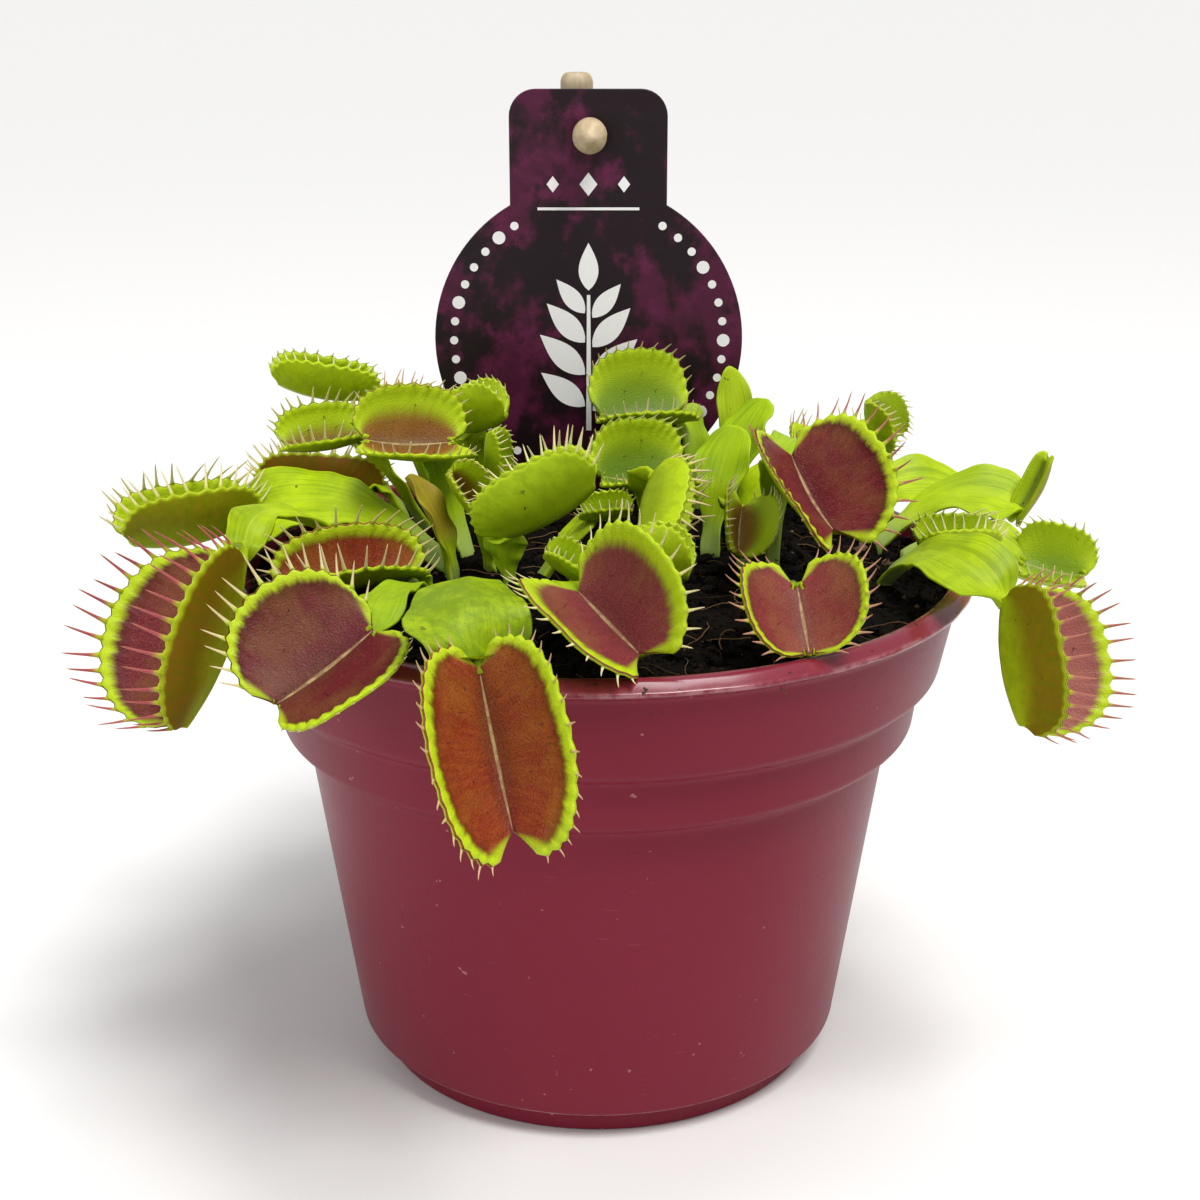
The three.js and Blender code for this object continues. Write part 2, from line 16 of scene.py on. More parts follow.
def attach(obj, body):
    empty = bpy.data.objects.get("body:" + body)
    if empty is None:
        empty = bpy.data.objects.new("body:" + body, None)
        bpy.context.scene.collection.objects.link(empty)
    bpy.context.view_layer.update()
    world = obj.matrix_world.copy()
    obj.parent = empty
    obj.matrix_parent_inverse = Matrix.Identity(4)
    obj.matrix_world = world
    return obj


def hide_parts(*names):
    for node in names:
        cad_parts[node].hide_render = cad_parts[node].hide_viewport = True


bl_info = {
    "name": "Potted venus flytrap",
    "version": (1, 0, 0),
    "blender": (4, 5, 0),
    "location": "View3D > Sidebar > Flytrap",
    "description": "Builds the leaves, soil, pot and label of a potted venus flytrap",
    "category": "Add Mesh",
}

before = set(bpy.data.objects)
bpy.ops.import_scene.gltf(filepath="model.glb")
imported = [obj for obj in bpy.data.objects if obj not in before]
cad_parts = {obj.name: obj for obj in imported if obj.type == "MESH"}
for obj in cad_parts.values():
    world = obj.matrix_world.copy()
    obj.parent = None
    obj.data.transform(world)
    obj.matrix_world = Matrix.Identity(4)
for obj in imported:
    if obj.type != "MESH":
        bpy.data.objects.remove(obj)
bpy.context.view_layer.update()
MM = 0.001

# ---- sizes of the plant

RIM_RADIUS = 45.0
POT_MOUTH = 42.0
POT_HEIGHT = 62.6
FLOOR_TOP = 3.4
# Corners of the pot as radius, height and rounding: from the underside out and up to the lip,
# then from the floor up to the lip.
POT_OUTSIDE = [
    (0, 1.8, 0), (25.6, 1.8, 0.5), (25.6, 0, 0.4), (27.8, 0, 0.5), (28.2, 3.2, 0.6),
    (30.4, 3.6, 0.5), (35.8, 42.4, 2.2), (38.6, 43.5, 0.9), (39.4, 49.5, 0.8), (41.4, 50.6, 0.9),
    (43.4, 60.4, 0.9), (RIM_RADIUS, 61.2, 0.3), (RIM_RADIUS, 61.6, 0.25), (43.6, POT_HEIGHT, 0.9),
]
POT_INSIDE = [
    (27.4, FLOOR_TOP, 1), (29.2, 4.6, 1), (34.6, 43.4, 2), (37.4, 44.6, 1), (38.2, 50.6, 1),
    (40.2, 51.6, 1), (POT_MOUTH, 60.6, 0.8), (42.4, POT_HEIGHT, 0.6),
]
DRAIN_HOLES = 6
DRAIN_RADIUS = 3.0
DRAIN_CIRCLE = 16.0
POT_SIDES, WOOD_SIDES, DRAIN_SIDES = 180, 40, 32
SOIL_EDGE = 60.4
SOIL_TOP = 61.8
SOIL_RADIUS = 41.6
SOIL_BOTTOM = FLOOR_TOP + 0.3
SOIL_SIDES, SOIL_RINGS = 132, 46
LABEL = dict(x=-1.2, y=29.5, z=83.3, radius=20.2, neck=20.1, top=115.4, corner=3.3, thick=0.8)
# Thickness of the label's print and the height of its diamonds.
INK = 0.06
DIAMONDS = 103.6
STICK = dict(x=-2.7, y=32.4, radius=2.1, bottom=44.0, top=117.4)
PEG = dict(x=-1.0, z=109.8, radius=2.2, length=7.0, cone=2.6, hole=2.32)

# Where a trap's bristles start and how much of the midrib's length they cover.
MARGIN_START = 0.02
MARGIN_SPAN = 0.96
# Length in millimetres from which a trap has beads or trigger hairs, and how far those traps gape.
BEADED_LENGTH = 9
HAIRED_LENGTH = 8
HAIRED_GAPE = 25
# Trigger hairs of a lobe: place along the midrib and from midrib to margin.
TRIGGER_HAIRS = ((0.33, 0.42), (0.62, 0.40), (0.47, 0.66))
# Points along a stalk and across it.
STALK_STEPS, STALK_ACROSS = 49, 19
# Value of the attribute kind on each part of a leaf.
STALK, LOBE, BRISTLE, HAIR = 0.0, 1.0, 2.0, 3.0

# The camera: the picture's width and focal length in pixels, its downward angle in degrees, its
# place in metres and its sensor in millimetres.
PHOTO_WIDTH = 1200
PHOTO_FOCAL = 1927.4
PHOTO_DOWN = 18.33
PHOTO_PLACE = (0.0003, -0.2239, 0.1309)
SENSOR_WIDTH = 36

LEAF_DEFAULTS = dict(
    gape=42, curl=40, width=0.7, xc=0.48, xa=0.62, square=0.9, arch=0.08, wave=0.4, blade=5,
    stalk=0.3, fold=12, roll=0, bristles=(1, 1), taper=(1, 1), lean=24, dark=(0, 0),
)


def row(name, looks, root, knee, hinge, tip=None, mouth=None, **rest):
    """One leaf of the table. A leaf with no tip has no trap.

    looks: how far the red spreads inside, how brown that red is, how pink the bristles are and
    the flush of the outside, which on some leaves also stands for painted shade.
    root, knee: where the stalk leaves the soil and where it bends.
    hinge, tip: the ends of the trap's midrib, or the hinge alone as the end of a plain blade.
    mouth: the way the trap faces.
    gape, curl: degrees that the lobes stand open, and that they bend from midrib to margin.
    width, xc, xa, square, arch: a lobe's width, middle, half length, squareness and arch, the
        first three and the last as shares of the trap's length.
    blade, stalk, fold, roll, wave: the stalk's width, where it starts to widen, how it folds and
        rolls in degrees, and the waves of its edges.
    bristles, taper, lean: length on the lobe of each side, length at the hinge and at the tip, and
        degrees that they tip inwards.
    dark: painted shade that deepens the green of the stalk and the red of the trap, and below zero
    painted light that pales the red.
    """
    return {**LEAF_DEFAULTS, "name": "leaf_" + name, "looks": looks, "root": root, "knee": knee,
            "hinge": hinge, "tip": tip, "mouth": mouth, "trap": tip is not None, **rest}


LEAVES = [
    row("front_hanging", (0.97, 0.9, 0.5, 0.1), (-13, -16.5), (-14.2, -43, 78.5),
        (-11.5, -48.5, 66), (-8, -56.5, 52), (0.1, -0.85, 0.5), gape=44, curl=30, width=0.58,
        xc=0.52, xa=0.64, blade=13, stalk=0.2, fold=-12, bristles=(0.6, 0.45), lean=0,
        dark=(0.95, 0)),
    row("left_front", (1, 0.1, 0.2, 0.1), (-17.5, -16), (-22, -26, 70), (-23, -35.5, 65),
        (-32.5, -41.5, 59), (-0.22, -0.6, 0.75), gape=58, curl=30, width=0.88, xc=0.5, xa=0.6,
        arch=0.04, stalk=0.2, bristles=(1.15, 0.42), lean=-5, dark=(0.5, 0.6)),
    row("left_hanging", (1, 0.1, 1, 0.9), (-20.5, -9.5), (-42, -7, 77), (-39.2, -20, 68.2),
        (-45, -30, 52), (-0.76, -0.4, 0.5), curl=34, xc=0.52, xa=0.52, square=1, dark=(0, 0.25)),
    row("left_inner", (0.9, 0.85, 0.2, 0.1), (-19, -13), (-20, -14, 66), (-21.5, -14.5, 64.5),
        (-35, -17.5, 63.5), (0, -0.42, 0.9), gape=36, width=0.5, arch=0.02),
    row("left_closed", (0.5, 0.3, 0.1, 0.6), (-18, -3.5), (-31, 0.5, 74), (-43, 0, 66.5),
        (-54.5, -8, 66.5), (-0.2, -0.15, 1), gape=20, width=0.5, blade=12, stalk=0.2, fold=8,
        roll=-22, bristles=(1.1, 1.1), dark=(0.15, 0.45)),
    row("back_left_closed", (0.1, 0.3, 0, 0), (-20.5, 20), (-25, 18, 77), (-29.5, 16.5, 78.5),
        (-40, 14, 81), (0.1, -0.1, 1), gape=22, curl=44, width=0.45, blade=6, bristles=(0.5, 0.5)),
    row("back_left_open", (0.35, 0.9, 0.1, 0.2), (-22, 14.5), (-26, 12, 71), (-30, 11, 74.5),
        (-38.5, 8, 74), (-0.3, -0.6, 0.8), gape=40, width=0.6, bristles=(1.3, 1.3)),
    row("back_left_low", (0.9, 0.3, 0.2, 1), (-25, 19), (-28, 19, 68), (-30, 19, 65),
        (-42.5, 15.5, 66.8), (0.1, 0.5, 0.9), gape=24, width=0.45, blade=4),
    row("left_upper", (0.6, 0.6, 0.2, 0.1), (-16, 1.5), (-19.5, 4, 72), (-17.5, 3.5, 75.5),
        (-28, 0.5, 76.5), (0, -0.65, 0.8), gape=46, curl=50, blade=8, bristles=(0.7, 0.7)),
    row("left_small_closed", (0, 0, 0, 0), (-15.5, 15.5), (-15.5, 14, 71), (-16.9, 11, 75.4),
        (-11.4, 9.5, 77.7), (-0.25, 0.1, 1), gape=20, curl=56, width=1, bristles=(0.5, 0.8)),
    row("spear_left", (0, 0, 0, 0.6), (-17, -8.8), (-17, -8, 66), (-22, -6, 74), blade=4.4,
        fold=30),
    row("middle_small", (0.5, 0.8, 0.1, 0.1), (-12.5, -4), (-13, -4, 64), (-14, -4, 68.5),
        (-17.2, -6.5, 74.5), (0.3, -0.7, 0.6), gape=34, width=0.6, blade=4),
    row("middle_back", (0, 0, 0, 0), (-12.5, 5.5), (-12.5, 6, 66), (-12.8, 5.5, 70.5),
        (-13, 4.5, 76.5), (0.8, -0.4, 0), gape=30, curl=60, width=0.5, blade=4),
    row("middle_closed", (0.1, 0.2, 0, 0), (-10, -10.5), (-11, -11.5, 66), (-11.1, -13, 68.7),
        (-0.4, -14, 74.9), (-0.5, 0.08, 0.85), gape=14, curl=52, width=0.58, bristles=(0.9, 0.7),
        taper=(0.22, 1.5), lean=4, dark=(0, 0.6)),
    row("middle_blade", (0.1, 0, 0, 0), (-7, -9), (-4, -6.5, 66), (-1, -6, 69), (3.8, -7, 70),
        (0, -0.5, 0.85), gape=30, width=0.62, wave=0),
    row("front_right_open", (0.86, 0.05, 0.08, 0.1), (-4, -21), (-2, -25, 69), (-2, -30.5, 67.6),
        (4.4, -39.2, 63.6), (0, -0.73, 0.69), gape=37, curl=38, width=1, xc=0.55, xa=0.74,
        square=1, arch=0.02, blade=7, bristles=(0.95, 0.95), lean=-22, dark=(0.6, -0.11)),
    row("middle_tiny", (0, 0, 0, 0), (-1.5, -19), (-1, -20.2, 64), (-1.6, -21.2, 66.2),
        (-5.6, -21.8, 69.2), (-0.5, -0.2, 0.6), gape=28, blade=3.6),
    row("centre_side", (0.8, 0.2, 0.3, 0), (6, -1), (7, -3, 73), (6.9, -9, 75.2), (5.2, -15, 69.3),
        (0.95, -0.1, 0.2), gape=20, curl=44, width=0.66, blade=6, bristles=(1.5, 1.5),
        dark=(0, 0.8)),
    row("centre_low", (0.1, 0, 0, 0), (1.5, -15), (2, -18, 67), (4, -20, 66.1), (10, -21.5, 66.6),
        (0.05, 0.15, 1), gape=14, curl=60, width=1.05, arch=0.04, blade=4, bristles=(0.4, 0.4),
        dark=(0, 0.4)),
    row("back_upper", (0.05, 0, 0.3, 0), (12.5, 23), (14, 25, 72), (10.6, 25, 74.2),
        (0.2, 22.5, 74.6), (0, -0.5, 0.87), curl=58, width=0.9, blade=8, bristles=(0.8, 0.8),
        dark=(0, 0.7)),
    row("back_lower", (0.05, 0, 0, 0), (8, 10), (9, 10, 66), (9.6, 8, 69.9), (0.4, 4, 71),
        (0, -0.55, 0.84), curl=58, width=0.82, blade=6, bristles=(0.7, 0.7), dark=(0, 0.8)),
    row("blade_back", (0, 0, 0, 0.1), (17.5, 17.5), (18.8, 20.5, 72), (17, 22.8, 81)),
    row("blade_upper", (0, 0, 0, 0), (18, 11.5), (15.5, 10.5, 72), (21.5, 14, 78.5), blade=8.6),
    row("blade_middle", (0, 0, 0, 0), (14, 3.5), (14.2, 5, 70), (17.5, 8, 76.5), blade=8.4),
    row("blade_right", (0, 0, 0, 0), (18.5, 2.5), (17, 3, 68), (24, 6, 73), blade=8.4),
    row("right_small", (0.5, 0.9, 0.1, 0.3), (17.5, -1.5), (17, -1, 71), (17, -3.5, 69.3),
        (16.3, -9.5, 65.3), (0.3, -0.6, 0.7), gape=34, width=0.82),
    row("right_upper", (1, 0.1, 0.9, 0.2), (21, -3), (21.5, 0, 74), (22.3, -7, 76.5),
        (26.5, -15.5, 69.8), (0.17, -0.6, 0.78), curl=36, width=0.92, xc=0.55, xa=0.74, square=1,
        blade=6, bristles=(0.6, 1.25), lean=-12, dark=(0.6, 0.15)),
    row("right_front", (1, 0.2, 0.75, 0.1), (21, -11), (21, -22, 66.5), (21.1, -30.5, 68.1),
        (21.9, -37, 62.9), (-0.04, -0.75, 0.66), gape=50, curl=50, width=1.03, xc=0.36, xa=0.68,
        square=1, arch=0.02, blade=3.4, bristles=(1.1, 1.1), lean=-18, dark=(1, -0.08)),
    row("right_spear", (0.12, 0.6, 0, 0.6), (35, 6.5), (44, 8.5, 71), (52, 5, 66), (55, 5, 73),
        (-0.1, -0.3, 0.9), curl=60, width=0.28, blade=10, stalk=0.2, roll=18, bristles=(0, 0)),
    row("far_right", (0.05, 0, 0, 0), (37.5, 1.6), (46, 1.2, 68.4), (51, -2, 62), (57.8, -6, 61.5),
        (0.2, -0.7, 0.7), gape=44, curl=60, width=0.8, blade=6, roll=14),
    row("right_low", (0, 0, 0, 0), (36.5, -2.5), (41, -4, 68), (45.5, -6, 65.6), (37.5, -9, 66.6),
        (0.2, -0.3, 0.9), gape=22, curl=50, width=0.5, blade=4),
    row("right_hanging", (1, 0, 0.9, 0.8), (34, -7), (38, -18, 72), (44.5, -24.5, 65),
        (46, -30.5, 52.5), (0.8, -0.5, 0.3), gape=34, curl=6, width=0.8, xc=0.52, xa=0.58, blade=9,
        stalk=0.2, roll=28, dark=(0.1, -0.5)),
    row("back_right", (0, 0, 0.1, 0), (21, 21), (31, 26, 73), (37, 26, 70.5), (35.5, 24.5, 76),
        (0.3, -0.5, 0.8), gape=30, curl=50, width=0.9, blade=7),
    row("right_behind", (0, 0, 0, 0), (28, 12), (38, 17, 70), (48, 19, 65), blade=9, roll=32),
    row("rear_hanging", (0.8, 0.6, 0.4, 0.2), (9, 31), (8, 44, 76), (7, 49, 67), (10, 58, 55),
        (0.1, 0.85, 0.5), gape=40, curl=34, width=0.62, blade=11, stalk=0.2, fold=-10),
    row("rear_left", (1, 0.1, 0.6, 0.2), (-16, 27), (-20, 37, 74), (-22, 44, 68), (-31, 51, 64),
        (-0.2, 0.5, 0.8), gape=40, width=0.75, blade=8),
    row("rear_middle", (0.1, 0, 0, 0), (-9, 33.5), (-9, 39, 77), (-9, 42, 76), (-17, 44, 81),
        (0.4, 0.6, 0.7), gape=28, curl=44, blade=7),
    row("rear_right", (0.9, 0.3, 0.4, 0.3), (22, 28), (27, 37, 72), (30, 44, 64), (37, 50, 57),
        (0.4, 0.6, 0.7), gape=36, curl=44, width=0.75, blade=8),
]


# ---- settings shown in the panel

def length_setting(name, description, millimetres):
    return FloatProperty(name=name, description=description, default=millimetres * MM,
                         unit="LENGTH")


def density_setting(name, description, value):
    return FloatProperty(name=name, description=description + " on each square metre of soil",
                         default=value)


def colour_setting(name, description, value):
    return FloatVectorProperty(name=name, description=description, subtype="COLOR", default=value,
                               size=3)


class FlytrapSizes(bpy.types.PropertyGroup):
    """Sizes that a user would change."""

    bristle_share: FloatProperty(
        name="Bristle length", description="Longest bristle as a share of its trap's length",
        default=0.26, min=0.05, max=0.5)
    bristle_width: length_setting("Bristle width", "Width of a long bristle at its root", 0.72)
    hair_length: length_setting("Trigger hair", "Length of the fine hairs inside a trap", 1.1)
    blade_thickness: length_setting("Blade thickness", "Thickness of a leaf blade", 0.55)
    lobe_thickness: length_setting("Lobe thickness", "Thickness of a trap's lobe", 0.8)
    crumb_size: length_setting("Crumb size", "Radius of the largest soil crumbs", 1.2)
    crumb_density: density_setting("Crumbs", "Soil crumbs", 700000.0)
    fibre_density: density_setting("Fibres", "Root fibres", 48000.0)
    seed: IntProperty(name="Seed", description="Seed of everything scattered", default=7)


class FlytrapColours(bpy.types.PropertyGroup):
    """Colours that a user would change."""

    lime: colour_setting("Lime", "Lit green of stalks and lobes", (0.44, 0.585, 0.004))
    deep_green: colour_setting("Deep green", "Darker green of the blades", (0.085, 0.160, 0.003))
    cool_green: colour_setting("Cool green", "Bluer green that some leaves lean to",
                               (0.17, 0.36, 0.012))
    band: colour_setting("Margin band", "Yellow green along a trap's margin", (0.41, 0.54, 0.010))
    burgundy: colour_setting("Burgundy", "Red inside the traps", (0.135, 0.009, 0.016))
    rust: colour_setting("Rust", "Brown red inside the older traps", (0.22, 0.034, 0.006))
    pot: colour_setting("Pot", "Plastic of the pot", (0.180, 0.012, 0.029))
    soil: colour_setting("Soil", "Dark peat", (0.0017, 0.0012, 0.0009))
    label: colour_setting("Label", "Ground colour of the plant label", (0.010, 0.003, 0.006))


# ---- node trees written as sums

class Link:
    """A socket of a node tree that can be used in a sum like a number."""

    def __init__(self, sheet, socket):
        self.sheet = sheet
        self.socket = socket

    def _math(self, operation, first, second=None):
        inputs = [first] if second is None else [first, second]
        return self.sheet.add("ShaderNodeMath", {"operation": operation}, *inputs)

    def __add__(self, other):
        return self._math("ADD", self, other)

    def __radd__(self, other):
        return self._math("ADD", other, self)

    def __sub__(self, other):
        return self._math("SUBTRACT", self, other)

    def __rsub__(self, other):
        return self._math("SUBTRACT", other, self)

    def __mul__(self, other):
        return self._math("MULTIPLY", self, other)

    def __rmul__(self, other):
        return self._math("MULTIPLY", other, self)

    def __truediv__(self, other):
        return self._math("DIVIDE", self, other)

    def __pow__(self, other):
        return self._math("POWER", self, other)

    def __gt__(self, other):
        return self._math("GREATER_THAN", self, other)

    def __lt__(self, other):
        return self._math("LESS_THAN", self, other)

    def size(self):
        return self._math("ABSOLUTE", self)

    def sine(self):
        return self._math("SINE", self)

    def low(self, other):
        return self._math("MINIMUM", self, other)

    def high(self, other):
        return self._math("MAXIMUM", self, other)

    def out(self, name):
        """Another output of the node this link comes from."""
        return Link(self.sheet, self.socket.node.outputs[name])


class Sheet:
    """A node tree, filled one node at a time."""

    def __init__(self, tree):
        self.tree = tree

    def add(self, kind, settings=None, *values, **named):
        """Adds a node: its settings first, then its inputs in order, by name or by place.

        Inputs by place stand under "at" in the settings.
        """
        node = self.tree.nodes.new(kind)
        settings = dict(settings or {})
        by_place = {**dict(enumerate(values)), **settings.pop("at", {})}
        for key, value in settings.items():
            setattr(node, key, value)
        for place, value in by_place.items():
            self.feed(node.inputs[place], value)
        for name, value in named.items():
            self.feed(node.inputs[name.replace("_", " ")], value)
        return Link(self, next(s for s in node.outputs if s.enabled)) if node.outputs else node

    def feed(self, socket, value):
        """Links a socket or sets it; a colour may come without its fourth value."""
        if isinstance(value, Link):
            self.tree.links.new(value.socket, socket)
        elif hasattr(socket.default_value, "__len__") and len(socket.default_value) == 4:
            socket.default_value = tuple(value) + (1.0,) * (4 - len(value))
        else:
            socket.default_value = value

    def value(self, name):
        """A stored attribute. The methods from here on are shorthands for common nodes."""
        return self.add("ShaderNodeAttribute", {"attribute_name": name}).out("Fac")

    def vector(self, name):
        """The three parts of a stored vector."""
        split = self.add("ShaderNodeAttribute", {"attribute_name": name}).out("Vector")
        parts = self.add("ShaderNodeSeparateXYZ", None, split)
        return parts, parts.out("Y"), parts.out("Z")

    def place(self):
        return self.add("ShaderNodeTexCoord").out("Object")

    def step(self, value, start, end):
        """0 before start, 1 after end, smooth between."""
        return self.add("ShaderNodeMapRange", {"interpolation_type": "SMOOTHSTEP"},
                        value, start, end, 0.0, 1.0)

    def blend(self, share, first, second):
        return self.add("ShaderNodeMix", {"data_type": "RGBA",
                                          "at": {0: share, 6: first, 7: second}})

    def paint(self, base, *coats):
        """Lays colours over a base one after another, each as a share and a colour."""
        for share, colour in coats:
            base = self.blend(share, base, colour)
        return base

    def grain(self, where, scale, detail, rough, stretch=None):
        if stretch:
            where = self.add("ShaderNodeMapping", None, where, Scale=stretch)
        return self.add("ShaderNodeTexNoise", None, Vector=where, Scale=scale, Detail=detail,
                        Roughness=rough)

    def bump(self, height, strength, distance, **under):
        return self.add("ShaderNodeBump", None, Strength=strength, Distance=distance,
                        Height=height, **under)


def new_tree(name, *inputs):
    """A geometry node tree with its sheet; an input is a name, a kind and a default."""
    tree = bpy.data.node_groups.new(name, "GeometryNodeTree")
    for title, kind, default in (("Geometry", "Geometry", None), *inputs,
                                 ("Material", "Material", None)):
        socket = tree.interface.new_socket(title, in_out="INPUT", socket_type="NodeSocket" + kind)
        if default is not None:
            socket.default_value = default
    tree.interface.new_socket("Geometry", in_out="OUTPUT", socket_type="NodeSocketGeometry")
    return tree, Sheet(tree)


def finish(name, recipe):
    """A material whose recipe fills its shader's sockets; made once."""
    name = "visual_" + name
    material = bpy.data.materials.get(name)
    if material:
        return material
    material = bpy.data.materials.new(name)
    material.use_nodes = True
    sheet = Sheet(material.node_tree)
    shader = material.node_tree.nodes["Principled BSDF"]
    for socket, value in recipe(sheet).items():
        sheet.feed(shader.inputs[socket], value)
    return material


# ---- leaves

def unit(v):
    return v / np.maximum(np.linalg.norm(v, axis=-1, keepdims=True), 1e-9)


def smooth(x):
    x = np.clip(x, 0, 1)
    return x * x * (3 - 2 * x)


def seed_of(name):
    return sum((i + 1) * ord(c) for i, c in enumerate(name)) % 9973


def ripple(points, size, seed):
    """Smooth noise at each point, about -1 to 1."""
    move = Vector((seed * 1.7, seed * 0.9, -seed * 1.3))
    flat = points.reshape(-1, 3)
    values = [noise.noise(Vector(p) / size + move) for p in flat.tolist()]
    return np.array(values).reshape(points.shape[:-1])


class Trap:
    """Two hinged lobes: u runs along the midrib, q from midrib (0) to margin (1 and -1)."""

    # How far the margin turns back past both ends of the midrib.
    EARS = math.radians(10)
    WRAP = 1.6

    def __init__(self, leaf):
        self.leaf = leaf
        self.hinge = np.array(leaf["hinge"], float)
        along = np.array(leaf["tip"], float) - self.hinge
        self.length = float(np.linalg.norm(along))
        self.x = along / self.length
        mouth = np.array(leaf["mouth"], float)
        self.z = unit(mouth - mouth.dot(self.x) * self.x)
        self.y = np.cross(self.z, self.x)
        self.span = leaf["width"] * self.length
        self.bristles = round(11 + 0.35 * self.length)

    def point(self, u, q):
        leaf, span = self.leaf, self.span
        side, q = np.sign(q), np.abs(q)
        phi = -self.EARS + (math.pi + self.WRAP * self.EARS) * u
        bulge = lambda x: np.sign(x) * np.abs(x) ** leaf["square"]
        x_edge = self.length * (leaf["xc"] - leaf["xa"] * bulge(np.cos(phi)))
        r_edge = 0.28 * span + 0.72 * span * bulge(np.sin(phi))
        x_mid = self.length * u
        x_bend = x_mid + 0.35 * (x_edge - x_mid)
        x = (1 - q) ** 2 * x_mid + 2 * q * (1 - q) * x_bend + q * q * x_edge
        r = 2 * q * (1 - q) * 0.55 * r_edge + q * q * r_edge
        curl = math.radians(leaf["curl"])
        start = math.radians(leaf["gape"]) + curl / 2
        k = curl / span
        y = (np.cos(start - k * r) - math.cos(start)) / k
        z = (math.sin(start) - np.sin(start - k * r)) / k
        t = np.clip(x / self.length, 0, 1)
        z = z - leaf["arch"] * self.length * 4 * t * (1 - t)
        z = z + 0.25 * np.exp(-(r / 0.5) ** 2)
        return (self.hinge + x[..., None] * self.x + (side * y)[..., None] * self.y
                + z[..., None] * self.z)

    def along(self, u, q):
        """A short step from hinge to tip."""
        return self.point(np.clip(u + 0.01, 0, 1), q) - self.point(np.clip(u - 0.01, 0, 1), q)

    def normal(self, u, q):
        """Direction towards the mouth."""
        side = np.where(q < 0, -1.0, 1.0)
        near = np.maximum(np.abs(q), 0.12) * side
        out = (self.point(u, np.clip(near + 0.03, -1, 1))
               - self.point(u, np.clip(near - 0.03, -1, 1)))
        n = unit(np.cross(self.along(u, near), out))
        n *= np.where(n @ self.y * side > 0, -1.0, 1.0)[..., None]
        middle = smooth((0.25 - np.abs(q)) / 0.25)[..., None]
        return unit(n * (1 - middle) + self.z * middle)

    def crests(self, u):
        """1 where a bristle stands on the margin, 0 halfway between two."""
        return 0.5 - 0.5 * np.cos(2 * np.pi * self.bristles * (u - MARGIN_START) / MARGIN_SPAN)


class Stalk:
    """Flat stalk: t runs from the soil to the trap, s across from -1 to 1."""

    def __init__(self, leaf, trap):
        self.leaf, self.trap = leaf, trap
        self.root = np.array([*leaf["root"], SOIL_TOP], float)
        self.knee = np.array(leaf["knee"], float)
        self.end = np.array(leaf["hinge"], float)
        if trap:
            self.end = trap.hinge + trap.x * 0.7 - trap.z * 0.3
        radial = unit(np.array([self.end[0] - self.root[0], self.end[1] - self.root[1], 0.0]))
        self.up = np.array([0, 0, 1.0]) - 0.6 * radial

    def half_width(self, t):
        leaf = self.leaf
        grow = smooth((t - leaf["stalk"] / 2) / (0.8 - leaf["stalk"] / 2))
        start, room = (0.8, 0.18) if leaf["trap"] else (0.55, 0.45)
        close = np.clip((t - start) / room, 0, 1)
        w = leaf["blade"] / 2 * (0.3 + 0.7 * grow) * np.sqrt(np.maximum(0, 1 - close ** 2.2))
        return np.minimum(np.maximum(w, 0.75 if leaf["trap"] else 0.3), 1.2 + 8 * t)

    def axes(self, t):
        t = t[..., None]
        tangent = unit(2 * (1 - t) * (self.knee - self.root) + 2 * t * (self.end - self.knee))
        lateral = unit(np.cross(self.up, tangent))
        roll = math.radians(self.leaf["roll"])
        lateral = lateral * math.cos(roll) + np.cross(tangent, lateral) * math.sin(roll)
        if self.trap:
            side = np.where(lateral @ self.trap.y > 0, 1.0, -1.0)[..., None]
            k = smooth((t - 0.86) / 0.14)
            lateral = lateral * (1 - k) + side * self.trap.y * k
            lateral = unit(lateral - np.sum(lateral * tangent, -1, keepdims=True) * tangent)
        return tangent, lateral, np.cross(tangent, lateral)

    def point(self, t, s):
        leaf = self.leaf
        w = self.half_width(t)
        _, lateral, normal = self.axes(t)
        lift = (math.tan(math.radians(leaf["fold"])) * np.sqrt(s * s + 0.02) * w
                + leaf["wave"] * np.sin(19 * t + 1.3 * s) * s * s * (2 * w / leaf["blade"]))
        k = t[..., None]
        middle = (1 - k) ** 2 * self.root + 2 * k * (1 - k) * self.knee + k * k * self.end
        return middle + lateral * (s * w)[..., None] + normal * lift[..., None]


def plate(middle, normal, inner, outer, bulge):
    """Closed plate round a grid of middle points, with a rounded rim. Returns points and faces."""
    ni, nj = middle.shape[:2]
    top = middle + normal * inner[..., None]
    low = middle - normal * outer[..., None]
    ring = ([(i, 0) for i in range(ni)] + [(ni - 1, j) for j in range(1, nj)]
            + [(i, nj - 1) for i in range(ni - 2, -1, -1)] + [(0, j) for j in range(nj - 2, 0, -1)])
    rim = []
    for i, j in ring:
        a = middle[min(max(i, 1), ni - 2), min(max(j, 1), nj - 2)]
        rim.append(middle[i, j] + unit(middle[i, j] - a) * bulge)
    size = ni * nj
    points = np.concatenate([top.reshape(-1, 3), low.reshape(-1, 3), np.array(rim)])
    at = lambda i, j: i * nj + j
    faces = []
    for i in range(ni - 1):
        for j in range(nj - 1):
            quad = (at(i, j), at(i + 1, j), at(i + 1, j + 1), at(i, j + 1))
            faces.append(quad)
            faces.append(tuple(size + k for k in reversed(quad)))
    n = len(ring)
    for k in range(n):
        a, b = ring[k], ring[(k + 1) % n]
        ra, rb = 2 * size + k, 2 * size + (k + 1) % n
        faces.append((at(*b), at(*a), ra, rb))
        faces.append((rb, ra, size + at(*a), size + at(*b)))
    return points, faces


